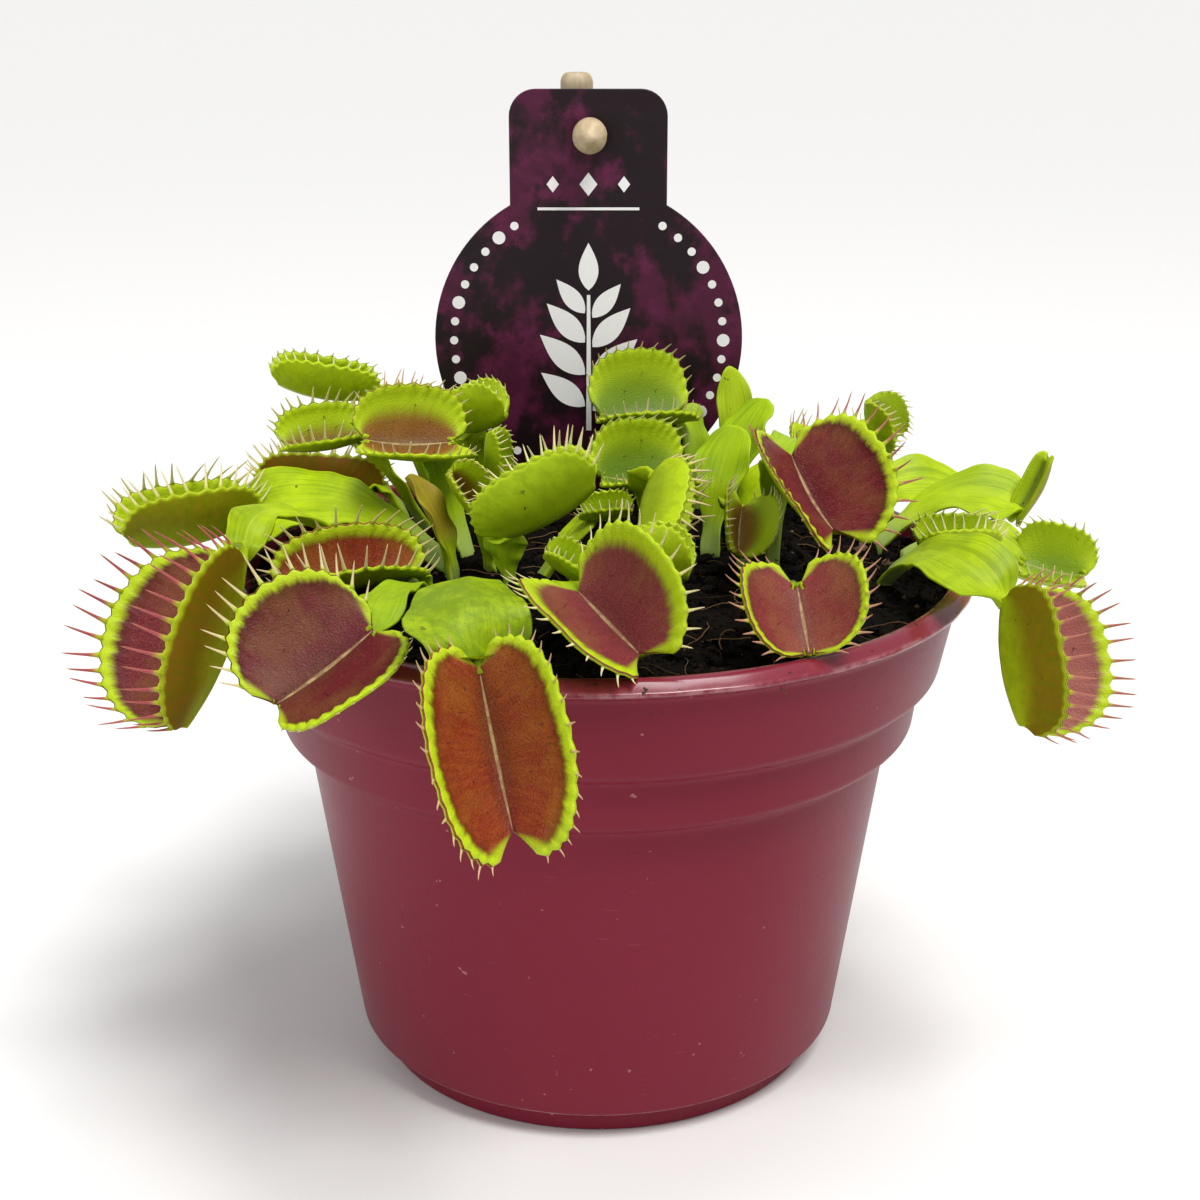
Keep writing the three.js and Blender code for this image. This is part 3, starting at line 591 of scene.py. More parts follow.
def trap_shape(leaf, trap, sizes):
    """The blade of a trap, with ribs that run down from the bristles."""
    n = trap.bristles
    u = MARGIN_START + MARGIN_SPAN * np.arange(4 * n + 1) / (4 * n)
    half = np.array([0, 0.03, 0.06, 0.1, 0.16, 0.23, 0.31, 0.4, 0.5, 0.6, 0.7, 0.79, 0.87, 0.93,
                     0.97, 1])
    q = np.concatenate([-half[:0:-1], half])
    uu, qq = np.meshgrid(u, q, indexing="ij")
    middle, normal = trap.point(uu, qq), trap.normal(uu, qq)
    seed = seed_of(leaf["name"])
    edge = np.abs(qq)
    beaded = trap.length > BEADED_LENGTH
    crest = trap.crests(uu) if max(leaf["bristles"]) else np.full_like(uu, 0.5)
    drift = ripple(middle, 6.0, seed) * 0.3 * edge
    rib = 0.035 * (crest - 0.5) * smooth((edge - 0.35) / 0.5)
    fine = ripple(middle, 1.6, seed + 5) * 0.03
    middle = middle + normal * (drift + rib + fine)[..., None]
    side = np.sign(qq + 1e-9)
    out = unit(trap.point(uu, side * np.maximum(edge, 0.3))
               - trap.point(uu, side * np.maximum(edge - 0.1, 0.2)))
    scallop = (crest - 0.35) * (0.42 if beaded else 0.28) * edge ** 14
    middle = middle + out * scallop[..., None]
    thick = sizes.lobe_thickness / MM
    inner = thick * (0.42 - 0.16 * edge ** 2)
    away = np.linalg.norm(middle - middle[:, len(q) // 2][:, None], axis=-1)
    outer = inner + 0.45 * np.exp(-(away / 0.8) ** 2)
    inner = inner - 0.12 * np.exp(-(away / 0.35) ** 2)
    bead = 0.26 if beaded and max(leaf["bristles"]) else 0.0
    inner = inner + bead * crest * np.exp(-((edge - 0.92) / 0.06) ** 2)
    points, faces = plate(middle, normal, inner, outer, thick * 0.18)
    grid = np.stack([uu, qq, np.ones_like(uu)], -1).reshape(-1, 3)
    return points, faces, grid


def stalk_shape(leaf, stalk, sizes):
    """The flat stalk, thick along its middle and wavy at its edges."""
    t = np.linspace(0, 1, STALK_STEPS)
    s = np.sin(np.linspace(-1, 1, STALK_ACROSS) * np.pi / 2)
    tt, ss = np.meshgrid(t, s, indexing="ij")
    middle = stalk.point(tt, ss)
    _, lateral, normal = stalk.axes(tt)
    seed = seed_of(leaf["name"])
    wide = np.clip(stalk.half_width(tt) / 3, 0, 1)
    middle = middle + normal * (ripple(middle, 3.5, seed) * 0.35 * ss ** 2 * wide)[..., None]
    middle = middle + lateral * (ripple(middle, 1.8, seed + 3) * 0.22 * ss ** 3 * wide)[..., None]
    half = sizes.blade_thickness / MM / 2
    rib = np.exp(-(ss * stalk.half_width(tt) / 0.75) ** 2)
    stem = 1 - smooth((tt - 0.05) / 0.35)
    inner = half * (1.15 - 0.5 * ss ** 2) + 0.05 * rib
    outer = inner + 0.38 * rib + 0.35 * stem * (1 - ss ** 2)
    low = middle[0] - np.array([0, 0, 3.0])
    middle = np.concatenate([low[None], middle])
    stack = lambda a: np.concatenate([a[:1], a])
    points, faces = plate(middle, stack(normal), stack(inner), stack(outer), half * 0.5)
    grid = stack(np.stack([tt, ss, np.ones_like(tt)], -1)).reshape(-1, 3)
    return points, faces, grid


def bristle_roots(leaf, trap, sizes):
    """Where bristles and trigger hairs stand: place, direction, margin direction and size."""
    rng = np.random.default_rng(seed_of(leaf["name"]))
    rows = []
    u = MARGIN_START + MARGIN_SPAN * (np.arange(trap.bristles) + 0.5) / trap.bristles
    if max(leaf["bristles"]):
        for side, share in zip((-1.0, 1.0), leaf["bristles"]):
            s = np.full_like(u, side)
            edge = trap.point(u, s)
            out = unit(edge - trap.point(u, s * 0.85))
            n = trap.normal(u, s)
            along = unit(trap.along(u, s))
            lean = np.radians(leaf["lean"] + rng.normal(0, 7, len(u)))[:, None]
            sway = rng.normal(0, 0.09, len(u))[:, None] + (0.5 - u)[:, None] * -0.35
            aim = unit(out * np.cos(lean) + n * np.sin(lean) + along * sway)
            along *= np.where(np.sum(np.cross(aim, along) * n, -1) > 0, 1.0, -1.0)[:, None]
            near, far = leaf["taper"]
            share = share * (near + (far - near) * smooth(u))
            reach = (share * trap.length * sizes.bristle_share * (0.62 + 0.38 * np.sin(np.pi * u))
                     * rng.uniform(0.86, 1.06, len(u)))
            wide = sizes.bristle_width / MM / 2 * np.clip(0.5 + 0.13 * reach, 0.6, 1.1)
            for k in range(len(u)):
                size = (wide[k], wide[k] * 0.7, reach[k])
                rows.append((edge[k] - out[k] * 0.05, aim[k], along[k], size, BRISTLE))
    if trap.length > HAIRED_LENGTH and leaf["gape"] > HAIRED_GAPE:
        size = (0.085, 0.085, sizes.hair_length / MM)
        for side in (-1.0, 1.0):
            for a, b in TRIGGER_HAIRS:
                p = trap.point(np.array([a]), np.array([b * side]))[0]
                n = trap.normal(np.array([a]), np.array([b * side]))[0]
                aim = unit(n + rng.normal(0, 0.18, 3))
                rows.append((p + n * 0.2, aim, trap.x, size, HAIR))
    return rows


def bristle_tree():
    """Geometry nodes: each marked loose point becomes a tapering, bent bristle."""
    tree = bpy.data.node_groups.get("Bristles")
    if tree:
        return tree
    tree, g = new_tree("Bristles", ("Sides", "Int", 6), ("Steps", "Int", 6),
                       ("Bend", "Float", 2.2))
    given = g.add("NodeGroupInput").out
    mark = g.add("GeometryNodeInputNamedAttribute", {"data_type": "BOOLEAN"}, Name="bristle")
    apart = g.add("GeometryNodeSeparateGeometry", {"domain": "POINT"}, given("Geometry"), mark)
    cone = g.add("GeometryNodeMeshCone", None, Vertices=given("Sides"),
                 Side_Segments=given("Steps"), Radius_Top=0.0, Radius_Bottom=1.0, Depth=1.0)
    place = g.add("GeometryNodeInputPosition")
    parts = g.add("ShaderNodeSeparateXYZ", None, place)
    z = parts.out("Z").low(0.999)
    flare = 0.42 * ((1 + z) / (1 - z)) ** 0.5 + 0.58 * (1 - z) ** 4
    bend = given("Bend") * z * z
    bent = g.add("ShaderNodeCombineXYZ", None, parts * flare, parts.out("Y") * flare + bend,
                 parts.out("Z"))
    cone = g.add("GeometryNodeStoreNamedAttribute", {"data_type": "FLOAT", "domain": "POINT"},
                 cone, Name="along", Value=parts.out("Z"))
    cone = g.add("GeometryNodeSetPosition", None, cone, Position=bent)

    def read(name):
        return g.add("GeometryNodeInputNamedAttribute", {"data_type": "FLOAT_VECTOR"}, Name=name)

    turn = g.add("FunctionNodeAxesToRotation", {"primary_axis": "Z", "secondary_axis": "X"},
                 read("aim"), read("edge"))
    many = g.add("GeometryNodeInstanceOnPoints", None, apart, Instance=cone, Rotation=turn,
                 Scale=read("reach"))
    many = g.add("GeometryNodeRealizeInstances", None, many)
    whole = g.add("GeometryNodeJoinGeometry")
    tree.links.new(many.socket, whole.socket.node.inputs[0])
    tree.links.new(apart.out("Inverted").socket, whole.socket.node.inputs[0])
    whole = g.add("GeometryNodeSetShadeSmooth", None, whole)
    whole = g.add("GeometryNodeSetMaterial", None, whole, Material=given("Material"))
    g.add("NodeGroupOutput", None, whole)
    return tree


def applied(obj, **options):
    """A new mesh of the object with its modifiers applied."""
    depsgraph = bpy.context.evaluated_depsgraph_get()
    return bpy.data.meshes.new_from_object(obj.evaluated_get(depsgraph), depsgraph=depsgraph,
                                           **options)


def run_tree(obj, tree, **values):
    """Applies a geometry node tree with the given inputs and keeps the result as a mesh."""
    modifier = obj.modifiers.new(tree.name, "NODES")
    modifier.node_group = tree
    for item in tree.interface.items_tree:
        if item.item_type == "SOCKET" and item.in_out == "INPUT" and item.name in values:
            modifier[item.identifier] = values[item.name]
    done = applied(obj, preserve_all_data_layers=True)
    obj.modifiers.remove(modifier)
    old = obj.data
    obj.data = done
    bpy.data.meshes.remove(old)
    done.name = obj.name


def add_object(name, data):
    obj = bpy.data.objects.new(name, data)
    bpy.context.scene.collection.objects.link(obj)
    return obj


def new_object(name, points, faces, material=None):
    mesh = bpy.data.meshes.new(name)
    mesh.from_pydata((np.asarray(points) * MM).tolist(), [], faces)
    mesh.update()
    if material:
        mesh.materials.append(material)
    return add_object(name, mesh)


def store(mesh, name, kind, values):
    attribute = mesh.attributes.new(name, kind, "POINT")
    values = np.asarray(values, dtype=bool if kind == "BOOLEAN" else np.float32)
    attribute.data.foreach_set("vector" if kind == "FLOAT_VECTOR" else "value", values.ravel())


def rework(mesh, change):
    """Runs a bmesh change on a mesh."""
    work = bmesh.new()
    work.from_mesh(mesh)
    change(work)
    work.to_mesh(mesh)
    work.free()


def face_out(mesh):
    rework(mesh, lambda work: bmesh.ops.recalc_face_normals(work, faces=work.faces))


def grow_leaves(with_trap):
    for leaf in LEAVES:
        if leaf["trap"] == with_trap:
            grow_leaf(leaf)


def grow_leaf(leaf):
    """Stalk, trap, bristles and hairs of one row as one object.

    Its attributes: place is u, q and 1 on the inner face, tint is red, brown and pink, and aim,
    edge and reach turn and scale the bristle that stands on a loose point.
    """
    sizes = bpy.context.scene.flytrap_sizes
    trap = Trap(leaf) if leaf["trap"] else None
    stalk = Stalk(leaf, trap)
    points, faces, place, kind = [], [], [], []
    on_rim = (0.5, 1.0, 0.5)

    def take(shape, code):
        p, f, grid = shape
        base = sum(len(x) for x in points)
        points.append(p)
        faces.extend(tuple(base + k for k in face) for face in f)
        rim = np.full((len(p) - 2 * len(grid), 3), on_rim)
        place.append(np.concatenate([grid, grid * (1, 1, 0), rim]))
        kind.append(np.full(len(p), code))

    take(stalk_shape(leaf, stalk, sizes), STALK)
    if trap:
        take(trap_shape(leaf, trap, sizes), LOBE)
    body = sum(len(x) for x in points)
    rows = bristle_roots(leaf, trap, sizes) if trap else []
    if rows:
        points.append(np.array([r[0] for r in rows]))
        place.append(np.full((len(rows), 3), on_rim))
        kind.append(np.array([r[4] for r in rows]))
    obj = new_object("visual_" + leaf["name"], np.concatenate(points), faces)
    mesh = obj.data
    face_out(mesh)
    count = len(mesh.vertices)
    kinds = np.concatenate(kind)
    off_stalk = kinds > (STALK + LOBE) / 2
    # Parts that take the outer flush, which on some leaves also stands for painted shade.
    gets_flush_and_shade = off_stalk | (not leaf["trap"])

    def of_bristles(column):
        return np.concatenate([np.zeros((body, 3)),
                               np.array([r[column] for r in rows]).reshape(-1, 3)])

    for name, values in (("place", np.concatenate(place)),
                         ("tint", np.tile(np.array(leaf["looks"][:3], float), (count, 1))),
                         ("aim", of_bristles(1)), ("edge", of_bristles(2)),
                         ("reach", of_bristles(3) * MM)):
        store(mesh, name, "FLOAT_VECTOR", values)
    for name, values in (("kind", kinds), ("blush", gets_flush_and_shade * float(leaf["looks"][3])),
                         # painted shade above zero and painted light below zero
                         ("dark", np.where(off_stalk, leaf["dark"][1], leaf["dark"][0])),
                         ("tone", np.full(count, (seed_of(leaf["name"]) % 97) / 97))):
        store(mesh, name, "FLOAT", values)
    store(mesh, "bristle", "BOOLEAN", np.arange(count) >= body)
    run_tree(obj, bristle_tree(), Material=finish("leaf", leaf_looks))
    for name in ("aim", "edge", "reach", "bristle"):
        if name in obj.data.attributes:
            obj.data.attributes.remove(obj.data.attributes[name])
    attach(obj, "root")
    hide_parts(leaf["name"])


# ---- materials

def leaf_looks(s):
    """Green stalks, and traps that are red inside with a yellow-green margin."""
    c = bpy.context.scene.flytrap_colours
    where = s.place()
    u, q, inside = s.vector("place")
    red, warm, pink = s.vector("tint")
    kind, along, tone, blush = (s.value(n) for n in ("kind", "along", "tone", "blush"))
    # Painted shade from the leaf's dark value above zero, painted light from it below zero.
    painted_shade, painted_light = s.value("dark").high(0.0), 0.0 - s.value("dark").low(0.0)
    off_stalk = kind > (STALK + LOBE) / 2
    edge = q.size()
    shift = s.add("ShaderNodeCombineXYZ", None, u * 48 + tone * 50, q * 2.6, tone * 31)
    vein = s.grain(shift, 1.0, 3, 0.55)
    cloud = s.grain(where, 160, 4, 0.6)
    gland = s.grain(where, 5200, 2, 0.5)
    speck = s.grain(where, 900, 2, 0.5)
    pores = s.grain(where, 700, 4, 0.7)
    fibre = s.add("ShaderNodeCombineXYZ", None, u * 2.0, q * 16 + tone * 9, tone * 13)
    fibre = s.grain(fibre, 1.0, 3, 0.5)

    # Green parts.
    green = s.paint(s.blend(s.step(cloud, 0.3, 0.72), c.deep_green, c.lime),
                    (0.25 + tone * 0.4, c.lime),
                    (s.step(tone, 0.45, 0.95) * 0.45, c.cool_green))
    # Painted shade on the stalk, mottled, set by the leaf's dark value.
    shade = painted_shade * (0.50 + s.step(pores * 0.6 + cloud * 0.4, 0.60, 0.40) * 0.4)
    stalk = s.paint(green,
                    (s.step(fibre, 0.35, 0.75) * 0.25, (0.44, 0.57, 0.008)),
                    (s.step(fibre, 0.48, 0.36) * 0.30, c.deep_green),
                    (s.step(edge, 0.16, 0.02) * 0.35, (0.40, 0.52, 0.02)),
                    (shade, (0.120, 0.200, 0.002)),
                    (s.step(u, 0.32, 0.02) * 0.7, (0.30, 0.40, 0.13)),
                    (blush * s.step(u + cloud * 0.3, 0.45, 0.75), (0.26, 0.09, 0.02)))
    # Olive brown of the outer flush, deepened so that it also serves as painted shade.
    flush_and_shade_colour = s.blend(s.step(vein, 0.35, 0.7), (0.13, 0.088, 0.001), (0.19, 0.072, 0.004))
    outer = s.paint(green,
                    (s.step(vein, 0.3, 0.8) * 0.35, (0.37, 0.50, 0.010)),
                    (0.5, (0.43, 0.56, 0.008)),
                    (s.step(pores, 0.44, 0.60) * 0.22, c.deep_green),
                    # Painted shade on the outer face, darkest towards the midrib.
                    (painted_shade * s.step(edge, 0.95, 0.25) * 0.9, (0.16, 0.225, 0.003)),
                    # The outer flush: a real flush, and on some leaves also painted shade.
                    (0.03 + blush * s.step(edge + cloud * 0.5, 0.25, 0.9), flush_and_shade_colour))

    # Red of the inner face: an uneven border, finer and darker towards the midrib; that darkening
    # and a dark line just inside the border are painted shade.
    border = 0.42 + red * 0.50 + (vein - 0.5) * 0.14 + (cloud - 0.5) * 0.05
    ends = s.step(u.low(1 - u) / (edge * 0.13 + 0.004), 0.35, 1.0)
    soft = 0.02 + (1 - red) * 0.70
    cover = s.step(edge, border + 0.04, border - 0.05 - soft) * s.step(red, 0.0, 0.25)
    cover = cover * (0.74 + s.step(red, 0.4, 0.85) * 0.26) * (0.15 + ends * 0.85)
    cover = cover * (0.95 + s.step(cloud, 0.62, 0.4) * 0.05)
    pale = s.blend(warm, (0.23, 0.034, 0.038), (0.34, 0.085, 0.009))
    deep = s.paint(s.blend(warm, c.burgundy, c.rust),
                   (s.step(vein, 0.45, 0.72) * 0.40, pale),
                   (s.step(cloud, 0.45, 0.7) * 0.30, pale),
                   # Painted shade along the midrib's crease.
                   (s.step(edge, 0.30, 0.0) * 0.55, (0.075, 0.007, 0.010)),
                   # Pale gland specks: partly the glands' own colour, partly painted glints.
                   (s.step(gland, 0.52, 0.68) * 0.24, (0.34, 0.10, 0.10)),
                   (s.step(gland, 0.46, 0.34) * 0.45, (0.060, 0.006, 0.008)),
                   # Painted shade just inside the red's border.
                   (s.step(edge, border - 0.20, border - 0.02) * 0.6, (0.062, 0.006, 0.006)),
                   # Painted shade deepens the red, and painted light pales it.
                   (painted_shade * (1 - warm) * 0.75, (0.050, 0.005, 0.007)),
                   (painted_light, (0.46, 0.17, 0.14)))
    # Painted shade in a trap's bowl: the inner green darkens towards the midrib, and more where the
    # dark value is set.
    hollow_shade = painted_shade * s.step(red, 0.4, 0.1) * s.step(edge, 0.95, 0.40)
    # A pale midrib line: partly the midrib's own colour, whitened partly as painted sheen.
    rib = s.step(edge, 0.028, 0.010) * (0.5 + s.step(speck, 0.4, 0.6) * 0.5)
    margin = s.step(edge, 0.93, 0.985)
    inner = s.paint(s.blend(s.step(edge, 0.05, 0.75), (0.17, 0.28, 0.008), c.band),
                    (hollow_shade * 0.85, (0.048, 0.110, 0.002)), (cover, deep),
                    (rib * 0.7, (0.46, 0.36, 0.15)), (margin * 0.7, c.band))
    face = s.step(inside, 0.35, 0.65)
    trap = s.blend(face, s.blend(margin * 0.6, outer, c.band), inner)

    # Bristles: green at the root, pink or cream at the tip.
    tip = s.blend(pink, (0.66, 0.60, 0.30), (0.36, 0.07, 0.09))
    bristle = s.paint(c.band, (s.step(along, 0.0, 0.35), tip),
                      (s.step(along, 0.55, 1.0) * (0.12 + pink * 0.4), (0.30, 0.10, 0.07)))
    dirt = s.step(speck, 0.70, 0.74) * s.step(cloud, 0.5, 0.62)
    dirt = dirt * (kind < (LOBE + BRISTLE) / 2)
    colour = s.paint(stalk, (off_stalk, trap), (kind > (LOBE + BRISTLE) / 2, bristle),
                     (kind > (BRISTLE + HAIR) / 2, (0.10, 0.02, 0.02)),
                     (dirt * 0.8, (0.03, 0.018, 0.01)))

    wet = off_stalk * (kind < (LOBE + BRISTLE) / 2) * face
    grain = s.bump(gland * wet * 1.5 + vein * 0.3 * off_stalk, 0.6, 0.12 * MM)
    lines = fibre * (kind < (STALK + LOBE) / 2) + s.grain(where, 1200, 3, 0.6) * 0.5
    return {
        "Base Color": colour, "Roughness": 0.44 - wet * 0.08 + (cloud - 0.5) * 0.18 + dirt * 0.3,
        "Normal": s.bump(lines, 0.35, 0.15 * MM, Normal=grain),
        "Coat Weight": wet * (0.04 + s.step(red, 0.3, 0.0) * 0.14), "Coat Roughness": 0.3,
        "Subsurface Weight": 0.2, "Subsurface Scale": 1.0 * MM,
        "Subsurface Radius": (0.9, 1.0, 0.2), "Specular IOR Level": 0.15,
    }


def pot_looks(s):
    """Satin moulded plastic with fine scuffs, wear on its edges, a painted highlight along the lip
    and a little soil inside the rim.
    """
    c = bpy.context.scene.flytrap_colours
    where = s.place()
    x, y, z = (s.add("ShaderNodeSeparateXYZ", None, where).out(n) for n in "XYZ")
    radius = (x * x + y * y) ** 0.5
    cloud = s.grain(where, 45, 5, 0.6)
    fine = s.grain(where, 2600, 2, 0.5)
    scuff = s.grain(where, 220, 4, 0.7, (1.0, 1.0, 9.0))

    def above(low, high):
        """0 below one height in millimetres and 1 above the other."""
        return s.step(z, low * MM, high * MM)

    line = s.step(scuff, 0.66, 0.72) * s.step(cloud, 0.48, 0.6)
    dot = s.step(s.grain(where, 700, 2, 0.5), 0.735, 0.76)
    lip = above(60.9, 61.3) * above(61.9, 61.5)
    foot = above(3.0, 3.35) * above(3.9, 3.6)
    # Pale patches: wear on the foot, and on the lip partly wear and partly painted highlight.
    wear_and_sheen = s.step(s.grain(where, 300, 4, 0.7), 0.38, 0.62)
    soily = above(57, 61) * s.step(radius, 43.3 * MM, 42.5 * MM)
    soily = soily * s.step(s.grain(where, 1300, 3, 0.7) + cloud * 0.5, 0.76, 0.84)
    crumbs = above(60.9, 61.4) * s.step(s.grain(where, 760, 3, 0.7), 0.655, 0.68)
    soily = soily.high(crumbs)
    colour = s.paint(c.pot, (s.step(cloud, 0.25, 0.8) * 0.30, (0.20, 0.019, 0.040)),
                     (line * 0.25, (0.40, 0.13, 0.16)), (dot * 0.5, (0.48, 0.25, 0.26)),
                     # on the lip partly painted highlight along its edge
                     ((lip * 0.30 + foot * 0.65) * wear_and_sheen, (0.62, 0.36, 0.38)),
                     (soily, (0.03, 0.018, 0.012)))
    rough = 0.36 - above(60.6, 61.2) * 0.12 + (cloud - 0.5) * 0.18
    rough = rough + line * 0.15 + dot * 0.2 + soily * 0.4
    return {"Base Color": colour, "Roughness": rough,
            "Normal": s.bump(fine * 0.4 + cloud * 1.5 + scuff * 0.3, 0.22, 0.25 * MM),
            "Specular IOR Level": 0.14, "Coat Weight": above(60.9, 61.3) * (1 - soily) * 0.8,
            "Coat Roughness": 0.16}


def soil_looks(s):
    """Moist dark peat with lighter bits and tan fibres."""
    c = bpy.context.scene.flytrap_colours
    where = s.place()
    tone, fibre = s.value("tone"), s.value("fibre")
    cloud = s.grain(where, 260, 5, 0.65)
    fine = s.grain(where, 1500, 5, 0.7)
    straw = s.blend(tone, (0.03, 0.014, 0.007), (0.22, 0.13, 0.06))
    colour = s.paint(c.soil, (s.step(cloud, 0.35, 0.7), (0.0065, 0.0040, 0.0026)),
                     (s.step(tone, 0.6, 1.0) * 0.6, (0.016, 0.010, 0.006)),
                     ((tone > 0.985) * 0.8, (0.16, 0.10, 0.06)), (fibre, straw))
    rough = 0.86 - s.step(cloud, 0.55, 0.75) * 0.30
    return {"Base Color": colour, "Roughness": rough,
            "Normal": s.bump(fine, 0.9, 0.4 * MM), "Specular IOR Level": 0.07}


def label_looks(s):
    """Coated card printed near black with mottled dark magenta."""
    c = bpy.context.scene.flytrap_colours
    where = s.place()
    blot = s.grain(where, 150, 3, 0.55, (1.0, 1.0, 0.55))
    fine = s.grain(where, 330, 4, 0.65)
    mix = s.step(blot * 0.7 + fine * 0.3, 0.45, 0.57)
    colour = s.paint(c.label, (mix * 0.9, (0.072, 0.006, 0.032)),
                     (s.step(fine, 0.50, 0.66) * mix * 0.5, (0.125, 0.012, 0.058)))
    return {"Base Color": colour, "Roughness": 0.38 + fine * 0.12,
            "Normal": s.bump(s.grain(where, 1800, 2, 0.5), 0.06, 0.1 * MM),
            "Specular IOR Level": 0.25}


def ink_looks(s):
    fine = s.grain(s.place(), 900, 3, 0.6)
    colour = s.blend(fine * 0.4, (0.86, 0.85, 0.86), (0.72, 0.68, 0.72))
    return {"Base Color": colour, "Roughness": 0.42}


def timber(s, stretch, dark, light, rough):
    """Pale birch whose grain runs along the squeezed axis."""
    lines = s.grain(s.place(), 900, 4, 0.6, stretch)
    return {"Base Color": s.blend(s.step(lines, 0.35, 0.7), dark, light), "Roughness": rough,
            "Normal": s.bump(lines, 0.35, 0.12 * MM), "Specular IOR Level": 0.35}


def wood_looks(s):
    looks = timber(s, (1.0, 1.0, 0.06), (0.37, 0.285, 0.17), (0.47, 0.385, 0.26), 0.62)
    stain = s.step(s.grain(s.place(), 200, 4, 0.6), 0.55, 0.75) * 0.4
    looks["Base Color"] = s.blend(stain, looks["Base Color"], (0.36, 0.24, 0.12))
    return looks


def peg_looks(s):
    return timber(s, (1.0, 0.06, 1.0), (0.42, 0.31, 0.18), (0.53, 0.42, 0.28), 0.6)


def floor_looks(s):
    return {"Base Color": (0.76, 0.76, 0.76), "Roughness": 0.75, "Specular IOR Level": 0.2}


# ---- pot, soil, label

def rounded(corners, steps=5):
    """A profile of (radius, height) points from corners of radius, height and rounding."""
    done = []
    for i, (*point, r) in enumerate(corners):
        b = Vector(point)
        if r <= 0:
            done.append(tuple(b))
            continue
        a, c = Vector(corners[i - 1][:2]), Vector(corners[i + 1][:2])
        reach = min(r, 0.45 * (a - b).length, 0.45 * (c - b).length)
        start, end = b + (a - b).normalized() * reach, b + (c - b).normalized() * reach
        for k in range(steps + 1):
            t = k / steps
            done.append(tuple((1 - t) ** 2 * start + 2 * t * (1 - t) * b + t * t * end))
    return done


def circle(radius, sides, turn=0.0):
    """Points round the axis; turn is a share of the step between two."""
    angles = [2 * math.pi * (k + turn) / sides for k in range(sides)]
    return [(radius * math.cos(a), radius * math.sin(a)) for a in angles]


def moved(points, x, y):
    return [(px + x, py + y, pz) for px, py, pz in points]


def skin(rings, sides, downwards=False):
    """Faces round a body made of a point on the axis, rings of points and another point."""
    faces = []
    last = 1 + rings * sides
    for k in range(sides):
        n = (k + 1) % sides
        faces.append((0, 1 + k, 1 + n) if downwards else (0, 1 + n, 1 + k))
        for a in range(1, last - sides, sides):
            b = a + sides
            faces.append((a + k, b + k, b + n, a + n) if downwards
                         else (a + k, a + n, b + n, b + k))
        a = last - sides
        faces.append((a + n, a + k, last) if downwards else (a + k, a + n, last))
    return faces


def lathe(profile, sides, wobble=None):
    """Closed body turned about Z from a profile that starts and ends on the axis.

    wobble gives how far a point moves outwards from its angle, radius and height.
    """
    points = [(0.0, 0.0, profile[0][1])]
    for r, z in profile[1:-1]:
        for k in range(sides):
            a = 2 * math.pi * k / sides
            out = r + (wobble(a, r, z) if wobble else 0)
            points.append((out * math.cos(a), out * math.sin(a), z))
    points.append((0.0, 0.0, profile[-1][1]))
    return points, skin(len(profile) - 2, sides)


def keep(obj, node, smooth_faces=True, sharp=None):
    """Final state of a piece: faces outwards, shading, and its place in the frame."""
    face_out(obj.data)
    if smooth_faces:
        obj.data.shade_smooth()
    if sharp:
        obj.data.set_sharp_from_angle(angle=math.radians(sharp))
    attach(obj, "root")
    if node:
        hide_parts(node)


def mould_pot():
    def wobble(a, r, z):
        """A slightly oval pot, with an uneven lip and foot where the mould parts."""
        lean = 0.10 * math.sin(2 * a + 0.6) * z / POT_HEIGHT
        flash = 0.0
        if r > 43 and 61.0 < z < 61.9:
            flash = 0.12 * noise.noise(Vector((math.cos(a) * 9, math.sin(a) * 9, 4)))
        if 27 < r < 30 and 2.6 < z < 3.9:
            flash = 0.16 * noise.noise(Vector((math.cos(a) * 14, math.sin(a) * 14, 9)))
        return lean + flash

    shape = rounded([*POT_OUTSIDE, *reversed(POT_INSIDE), (0, FLOOR_TOP, 0)])
    pot = new_object("visual_pot", *lathe(shape, POT_SIDES, wobble), finish("pot", pot_looks))
    face_out(pot.data)
    for x, y in circle(DRAIN_CIRCLE, DRAIN_HOLES):
        points, faces = lathe([(0, 0.5), (DRAIN_RADIUS, 0.5), (DRAIN_RADIUS, 5), (0, 5)],
                              DRAIN_SIDES)
        cutter = new_object("cutter", moved(points, x, y), faces)
        face_out(cutter.data)
        modifier = pot.modifiers.new("drain", "BOOLEAN")
        modifier.operation = "DIFFERENCE"
        modifier.solver = "EXACT"
        modifier.object = cutter
        done = applied(pot)
        pot.modifiers.remove(modifier)
        pot.data = done
        bpy.data.objects.remove(cutter, do_unlink=True)
    keep(pot, "pot", sharp=38)


def soil_wall(z):
    """Inner radius of the pot at a height."""
    for (r0, z0, _), (r1, z1, _) in zip(POT_INSIDE, POT_INSIDE[1:]):
        if z <= z1:
            return r0 + (r1 - r0) * (z - z0) / (z1 - z0)
    raise ValueError("the soil stands higher than the pot")


def soil_height(x, y):
    r = math.hypot(x, y) / POT_MOUTH
    rise = (SOIL_TOP - SOIL_EDGE) * (1 - r ** 3)
    p = Vector((x, y, 0))
    rise += 0.9 * noise.noise(p / 9) * min(1, 2.4 * (1.02 - r)) + 0.35 * noise.noise(p / 3.1)
    return SOIL_EDGE + rise


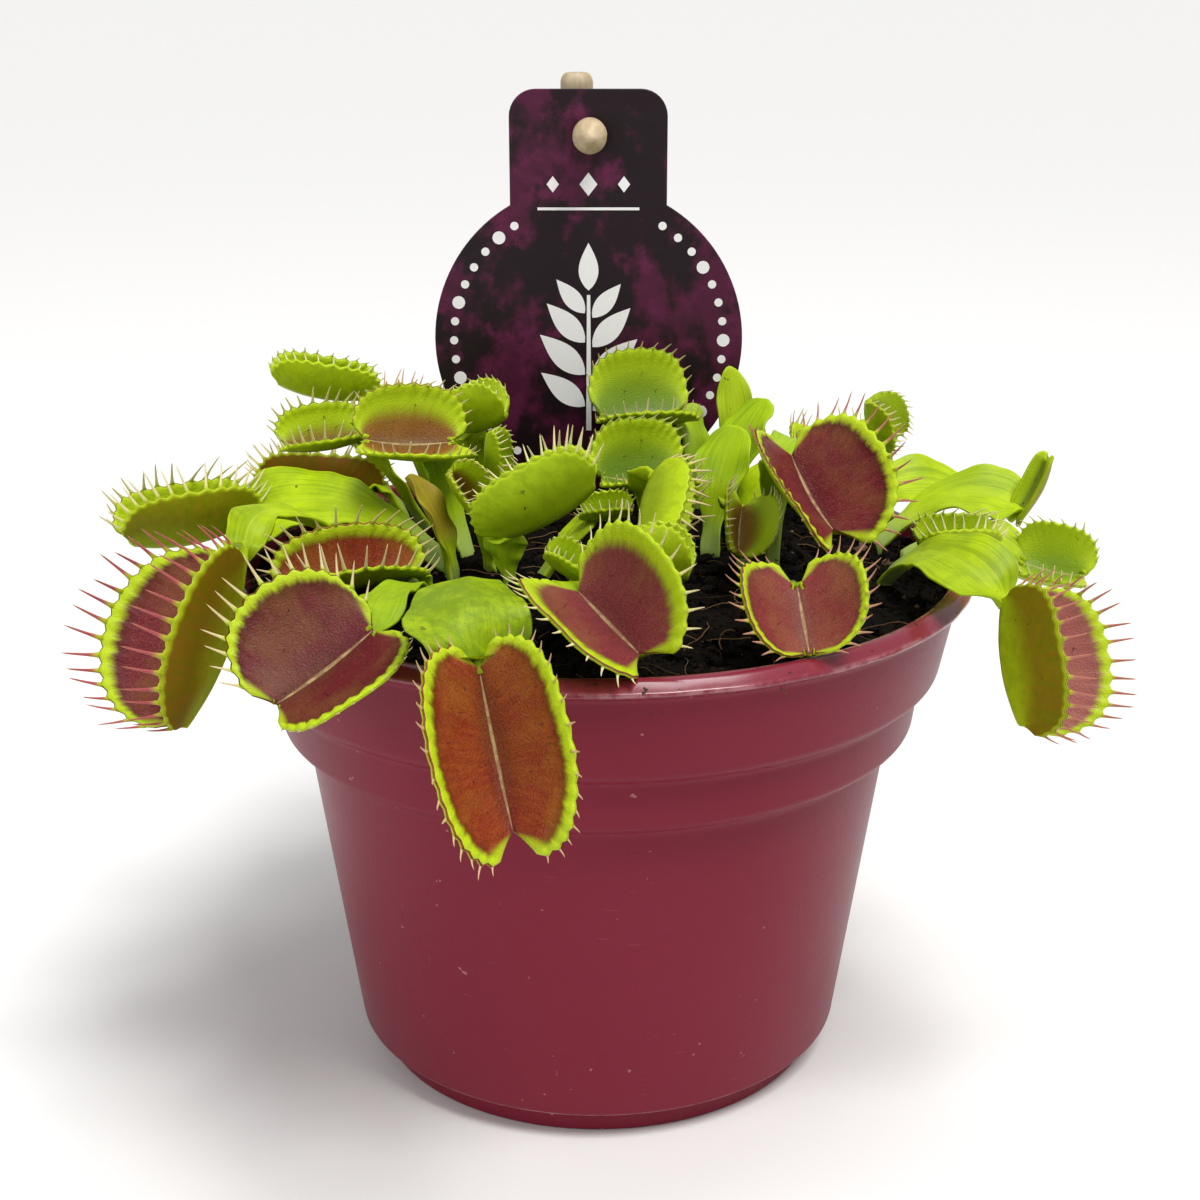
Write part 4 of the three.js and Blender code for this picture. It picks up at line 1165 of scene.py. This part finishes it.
def scatter_tree():
    """Geometry nodes: crumbs of two sizes and fibres over the marked top of the soil."""
    tree, g = new_tree("Crumbs", ("Crumb size", "Float", 0.0012),
                       ("Crumb density", "Float", 700000.0), ("Fibre density", "Float", 60000.0),
                       ("Seed", "Int", 7))
    given = g.add("NodeGroupInput").out
    top = g.add("GeometryNodeInputNamedAttribute", {"data_type": "BOOLEAN"}, Name="top")
    whole = g.add("GeometryNodeJoinGeometry")
    join = whole.socket.node.inputs[0]
    tree.links.new(given("Geometry").socket, join)

    def random(low, high, seed):
        kind, places = ("FLOAT_VECTOR", (0, 1)) if isinstance(low, tuple) else ("FLOAT", (2, 3))
        return g.add("FunctionNodeRandomValue", {
            "data_type": kind, "at": {places[0]: low, places[1]: high, 8: seed}})

    def mark(what, name, value, domain):
        return g.add("GeometryNodeStoreNamedAttribute", {"data_type": "FLOAT", "domain": domain},
                     what, Name=name, Value=value)

    def spread(shape, density, small, large, seed, scale, shift, tilt, fibre):
        """One shape over the soil: sizes, grain and depth of its bumps, and tilt."""
        points = g.add("GeometryNodeDistributePointsOnFaces", None, given("Geometry"),
                       Selection=top, Density=density, Seed=given("Seed") + seed)
        many = g.add("GeometryNodeInstanceOnPoints", None, points, Instance=shape,
                     Rotation=random((-tilt, -tilt, -3.14), (tilt, tilt, 3.14), seed),
                     Scale=random(small, large, seed + 1))
        many = mark(many, "tone", random(0.0, 1.0, seed + 2), "INSTANCE")
        many = g.add("GeometryNodeRealizeInstances", None, many)
        here = g.add("GeometryNodeInputPosition")
        bumpy = g.add("ShaderNodeTexNoise", None, Vector=here, Scale=scale, Detail=2.0)
        offset = g.add("ShaderNodeVectorMath", {"operation": "SUBTRACT"},
                       bumpy.out("Color"), (0.5, 0.5, 0.5))
        offset = g.add("ShaderNodeVectorMath", {"operation": "SCALE"}, offset, Scale=shift)
        many = g.add("GeometryNodeSetPosition", None, many, Offset=offset)
        tree.links.new(mark(many, "fibre", fibre, "POINT").socket, join)

    size, density = given("Crumb size"), given("Crumb density")
    fine = g.add("GeometryNodeMeshIcoSphere", None, 1.0, 1)
    spread(fine, density * 1.1, size * 0.10, size * 0.36, 11, 2600, 0.0008, 3.1, 0.0)
    coarse = g.add("GeometryNodeMeshIcoSphere", None, 1.0, 2)
    spread(coarse, density * 0.17, size * 0.34, size * 0.95, 23, 1500, 0.0026, 3.1, 0.0)
    thread = g.add("GeometryNodeMeshCone", None, Vertices=4, Side_Segments=10, Radius_Top=0.006,
                   Radius_Bottom=0.012, Depth=1.0)
    flat = g.add("ShaderNodeSeparateXYZ", None, g.add("GeometryNodeInputPosition"))
    z = flat.out("Z")
    lying = g.add("ShaderNodeCombineXYZ", None, z - 0.5, flat + 0.10 * (z * 5.1).sine(),
                  flat.out("Y") + 0.09 * (z * 3.14).sine())
    thread = g.add("GeometryNodeSetPosition", None, thread, Position=lying)
    spread(thread, given("Fibre density"), 0.0025, 0.0085, 37, 160, 0.0022, 0.22, 1.0)
    whole = g.add("GeometryNodeSetMaterial", None, whole, Material=given("Material"))
    g.add("NodeGroupOutput", None, whole)
    return tree


def fill_soil():
    sizes = bpy.context.scene.flytrap_sizes
    sides, rings = SOIL_SIDES, SOIL_RINGS
    layers = [[(x, y, soil_height(x, y))
               for x, y in circle(SOIL_RADIUS * i / rings, sides, 0.5 * (i % 2))]
              for i in range(1, rings + 1)]
    layers += [[(x, y, z) for x, y in circle(soil_wall(z) - 0.35, sides)]
               for z in (58.5, 52.2, 51.6, 50.4, 44.8, 43.2, 24, 5.0, SOIL_BOTTOM)]
    points, top = [(0, 0, soil_height(0, 0))], [True]
    for i, layer in enumerate(layers):
        points += layer
        top += [i < rings - 1] * sides
    points.append((0, 0, SOIL_BOTTOM))
    top.append(False)
    soil = new_object("visual_soil", points, skin(len(layers), sides, downwards=True))
    face_out(soil.data)
    soil.data.shade_smooth()
    store(soil.data, "top", "BOOLEAN", top)
    run_tree(soil, scatter_tree(), **{
        "Crumb size": sizes.crumb_size, "Crumb density": sizes.crumb_density,
        "Fibre density": sizes.fibre_density, "Seed": sizes.seed,
        "Material": finish("soil", soil_looks)})
    keep(soil, "soil")


def prism(name, outlines, y, thick, bevel, material):
    """Closed flat piece in the XZ plane from outlines; later outlines cut holes."""
    curve = bpy.data.curves.new(name, "CURVE")
    curve.dimensions = "2D"
    curve.fill_mode = "BOTH"
    curve.extrude = max((thick / 2 - bevel) * MM, 1e-6)
    curve.bevel_depth = bevel * MM
    curve.bevel_resolution = 2
    for outline in outlines:
        spline = curve.splines.new("POLY")
        spline.points.add(len(outline) - 1)
        for point, (x, z) in zip(spline.points, outline):
            point.co = (x * MM, z * MM, 0, 1)
        spline.use_cyclic_u = True
    holder = add_object(name + "_curve", curve)
    mesh = applied(holder)
    bpy.data.objects.remove(holder, do_unlink=True)
    mesh.transform(Matrix.Translation((0, y * MM, 0)) @ Matrix.Rotation(math.pi / 2, 4, "X"))
    rework(mesh, lambda work: bmesh.ops.remove_doubles(work, verts=work.verts, dist=2e-6))
    mesh.materials.clear()
    mesh.materials.append(material)
    mesh.name = name
    return add_object(name, mesh)


def arc(cx, cz, r, start, end, steps):
    return [(cx + r * math.cos(a), cz + r * math.sin(a))
            for a in (math.radians(start + (end - start) * k / steps) for k in range(steps + 1))]


def leaflet(x, z, length, width, angle, steps=14):
    """Outline of a pointed leaflet that starts at a point."""
    a = math.radians(angle)
    up = [(t, width / 2 * math.sin(math.pi * t ** 0.8))
          for t in (k / steps for k in range(steps + 1))]
    shape = up + [(t, -w) for t, w in reversed(up[1:-1])]
    return [(x + t * length * math.cos(a) - w * math.sin(a),
             z + t * length * math.sin(a) + w * math.cos(a)) for t, w in shape]


def print_label():
    b = LABEL
    x, z, half, c, top = b["x"], b["z"], b["neck"] / 2, b["corner"], b["top"]
    join = math.degrees(math.acos(half / b["radius"]))
    outline = arc(x, z, b["radius"], 180 - join, 360 + join, 96)
    outline += arc(x + half - c, top - c, c, 0, 90, 8)
    outline += arc(x - half + c, top - c, c, 90, 180, 8)
    hole = arc(PEG["x"], PEG["z"], PEG["hole"], 360, 0, 40)[:-1]
    card = prism("visual_label", [outline, hole], b["y"], b["thick"], 0.12,
                 finish("label", label_looks))
    keep(card, "label", sharp=35)

    # The print: a sprig, a ring of dots that opens at the neck, three diamonds and a line.
    shapes = [[(x - 0.35, z - 12.2), (x + 0.35, z - 12.2), (x + 0.22, z + 6), (x - 0.22, z + 6)]]
    for k, (height, size) in enumerate(((-9.5, 7.4), (-5.2, 8.0), (-0.9, 7.2), (3.0, 5.8))):
        shapes.append(leaflet(x + 0.5, z + height, size, size * 0.40, 38 + 4 * k))
        shapes.append(leaflet(x - 0.5, z + height + 0.6, size, size * 0.40, 142 - 4 * k))
    shapes.append(leaflet(x, z + 6.6, 6.2, 2.6, 90))
    dots, ring = 44, b["radius"] - 2.4
    for k in range(dots):
        a = math.radians(360 * k / dots)
        if not math.radians(62) < a < math.radians(118):
            shapes.append(arc(x + ring * math.cos(a), z + ring * math.sin(a),
                              0.55 if k % 4 else 0.85, 0, 360, 12)[:-1])
    for cx, size in ((x - 4.6, 0.8), (x, 1.15), (x + 4.6, 0.8)):
        shapes.append([(cx - size, DIAMONDS), (cx, DIAMONDS - size * 1.3),
                       (cx + size, DIAMONDS), (cx, DIAMONDS + size * 1.3)])
    shapes.append([(x - 6.6, 100.3), (x + 6.6, 100.3), (x + 6.6, 100.65), (x - 6.6, 100.65)])
    marks = prism("visual_label_print", shapes, b["y"] - b["thick"] / 2 - INK / 2, INK, 0.0,
                  finish("ink", ink_looks))
    keep(marks, None, smooth_faces=False)


def turn_stick():
    s = STICK
    r = s["radius"]
    shape = rounded([(0, s["bottom"], 0), (r * 0.35, s["bottom"], 0.3), (r, s["bottom"] + 4, 1),
                     (r, s["top"] - 0.9, 0.6), (r * 0.75, s["top"], 0.5), (0, s["top"], 0)], 3)
    full = [shape[0]]
    for (r0, z0), (r1, z1) in zip(shape, shape[1:]):
        n = max(1, int(abs(z1 - z0) / 2))
        full += [(r0 + (r1 - r0) * k / n, z0 + (z1 - z0) * k / n) for k in range(1, n + 1)]

    def wobble(a, radius, z):
        return 0.06 * noise.noise(Vector((math.cos(a), math.sin(a), z * 0.12)) * 1.7)

    points, faces = lathe(full, WOOD_SIDES, wobble)
    stick = new_object("visual_label_stick", moved(points, s["x"], s["y"]), faces,
                       finish("wood", wood_looks))
    keep(stick, "label_stick", sharp=40)


def turn_peg():
    p = PEG
    r, length = p["radius"], p["length"]
    shape = rounded([(0, 0, 0), (r, 0, 0.25), (r, length - p["cone"], 1.2),
                     (r * 0.25, length - 0.2, 0.5), (0, length, 0)])

    def wobble(a, radius, z):
        return 0.05 * noise.noise(Vector((math.cos(a) * 1.5, math.sin(a) * 1.5, z * 0.3)))

    points, faces = lathe(shape, WOOD_SIDES, wobble)
    back = STICK["y"] - STICK["radius"] - 0.3
    points = [(x + p["x"], back - z, y + p["z"]) for x, y, z in points]
    peg = new_object("visual_label_peg", points, faces, finish("peg", peg_looks))
    keep(peg, "label_peg", sharp=40)


# ---- stage

def hang_lamp(name, kind, place, aim, power, colour, **settings):
    lamp = bpy.data.lights.new(name, kind)
    lamp.energy = power
    lamp.color = colour
    for key, value in settings.items():
        setattr(lamp, key, value)
    obj = add_object(name, lamp)
    obj.location = place
    obj.rotation_euler = Vector(aim).to_track_quat("-Z", "Y").to_euler()


def set_stage():
    scene = bpy.context.scene
    far = 60000
    floor = new_object("floor", [(-far, -far, 0), (far, -far, 0), (far, far, 0), (-far, far, 0)],
                       [(0, 1, 2, 3)], finish("floor", floor_looks))
    world = bpy.data.worlds.new("studio")
    world.use_nodes = True
    sky = world.node_tree.nodes["Background"]
    sky.inputs["Color"].default_value = (1.0, 1.0, 1.0, 1.0)
    sky.inputs["Strength"].default_value = 0.50
    scene.world = world
    middle = Vector((0.0, 0.0, 0.06))
    hang_lamp("key", "SUN", (0, 0, 0), (-0.42, 0.50, -1.25), 2.6, (1.0, 0.985, 0.955),
              angle=math.radians(24))
    for name, place, size, colour in (("fill", (-0.50, -0.40, 0.35), 0.35, (0.96, 0.98, 1.0)),
                                      ("top", (0.10, 0.05, 0.60), 0.22, (1, 1, 1))):
        hang_lamp(name, "AREA", place, middle - Vector(place), 1.0, colour, shape="DISK",
                  size=size)
    data = bpy.data.cameras.new("photo")
    data.sensor_width = SENSOR_WIDTH
    data.lens = PHOTO_FOCAL / PHOTO_WIDTH * SENSOR_WIDTH
    data.clip_start = 0.01
    data.clip_end = 200
    camera = add_object("photo", data)
    camera.location = PHOTO_PLACE
    camera.rotation_euler = (math.radians(90 - PHOTO_DOWN), 0, 0)
    scene.camera = camera
    scene.view_settings.view_transform = "Standard"
    scene.view_settings.look = "None"
    scene.view_settings.exposure = 0.0


# ---- operators and panel

class FLYTRAP_OT_traps(bpy.types.Operator):
    """Grow every leaf that ends in a trap"""

    bl_idname = "flytrap.traps"
    bl_label = "Leaves with traps"

    def execute(self, context):
        grow_leaves(with_trap=True)
        return {"FINISHED"}


class FLYTRAP_OT_blades(bpy.types.Operator):
    """Grow the leaves that have no trap"""

    bl_idname = "flytrap.blades"
    bl_label = "Leaves without traps"

    def execute(self, context):
        grow_leaves(with_trap=False)
        return {"FINISHED"}


class FLYTRAP_OT_pot(bpy.types.Operator):
    """Mould the nursery pot with its bands and drain holes"""

    bl_idname = "flytrap.pot"
    bl_label = "Pot"

    def execute(self, context):
        mould_pot()
        return {"FINISHED"}


class FLYTRAP_OT_soil(bpy.types.Operator):
    """Fill the pot with peat, crumbs and fibres"""

    bl_idname = "flytrap.soil"
    bl_label = "Soil"

    def execute(self, context):
        fill_soil()
        return {"FINISHED"}


class FLYTRAP_OT_label(bpy.types.Operator):
    """Cut and print the plant label"""

    bl_idname = "flytrap.label"
    bl_label = "Label"

    def execute(self, context):
        print_label()
        return {"FINISHED"}


class FLYTRAP_OT_woodwork(bpy.types.Operator):
    """Turn the label's stick and its peg"""

    bl_idname = "flytrap.woodwork"
    bl_label = "Stick and peg"

    def execute(self, context):
        turn_stick()
        turn_peg()
        return {"FINISHED"}


class FLYTRAP_OT_stage(bpy.types.Operator):
    """Set the pale floor, the studio light and the camera"""

    bl_idname = "flytrap.stage"
    bl_label = "Stage"

    def execute(self, context):
        set_stage()
        return {"FINISHED"}


class FLYTRAP_PT_panel(bpy.types.Panel):
    """The sizes, the colours and one button per group of pieces"""

    bl_idname = "FLYTRAP_PT_panel"
    bl_label = "Venus flytrap"
    bl_space_type = "VIEW_3D"
    bl_region_type = "UI"
    bl_category = "Flytrap"

    def draw(self, context):
        layout = self.layout
        for group in (context.scene.flytrap_sizes, context.scene.flytrap_colours):
            box = layout.box()
            for name in group.bl_rna.properties.keys():
                if name not in ("rna_type", "name"):
                    box.prop(group, name)
        for operator in OPERATORS:
            layout.operator(operator.bl_idname)


OPERATORS = (FLYTRAP_OT_stage, FLYTRAP_OT_pot, FLYTRAP_OT_soil, FLYTRAP_OT_label,
             FLYTRAP_OT_woodwork, FLYTRAP_OT_traps, FLYTRAP_OT_blades)
CLASSES = (FlytrapSizes, FlytrapColours, *OPERATORS, FLYTRAP_PT_panel)


def register():
    for cls in CLASSES:
        bpy.utils.register_class(cls)
    bpy.types.Scene.flytrap_sizes = PointerProperty(type=FlytrapSizes)
    bpy.types.Scene.flytrap_colours = PointerProperty(type=FlytrapColours)


def unregister():
    del bpy.types.Scene.flytrap_colours
    del bpy.types.Scene.flytrap_sizes
    for cls in reversed(CLASSES):
        bpy.utils.unregister_class(cls)


def main():
    register()
    bpy.ops.flytrap.stage()
    bpy.ops.flytrap.pot()
    bpy.ops.flytrap.soil()
    bpy.ops.flytrap.label()
    bpy.ops.flytrap.woodwork()
    bpy.ops.flytrap.traps()
    bpy.ops.flytrap.blades()


if __name__ == "__main__":
    main()
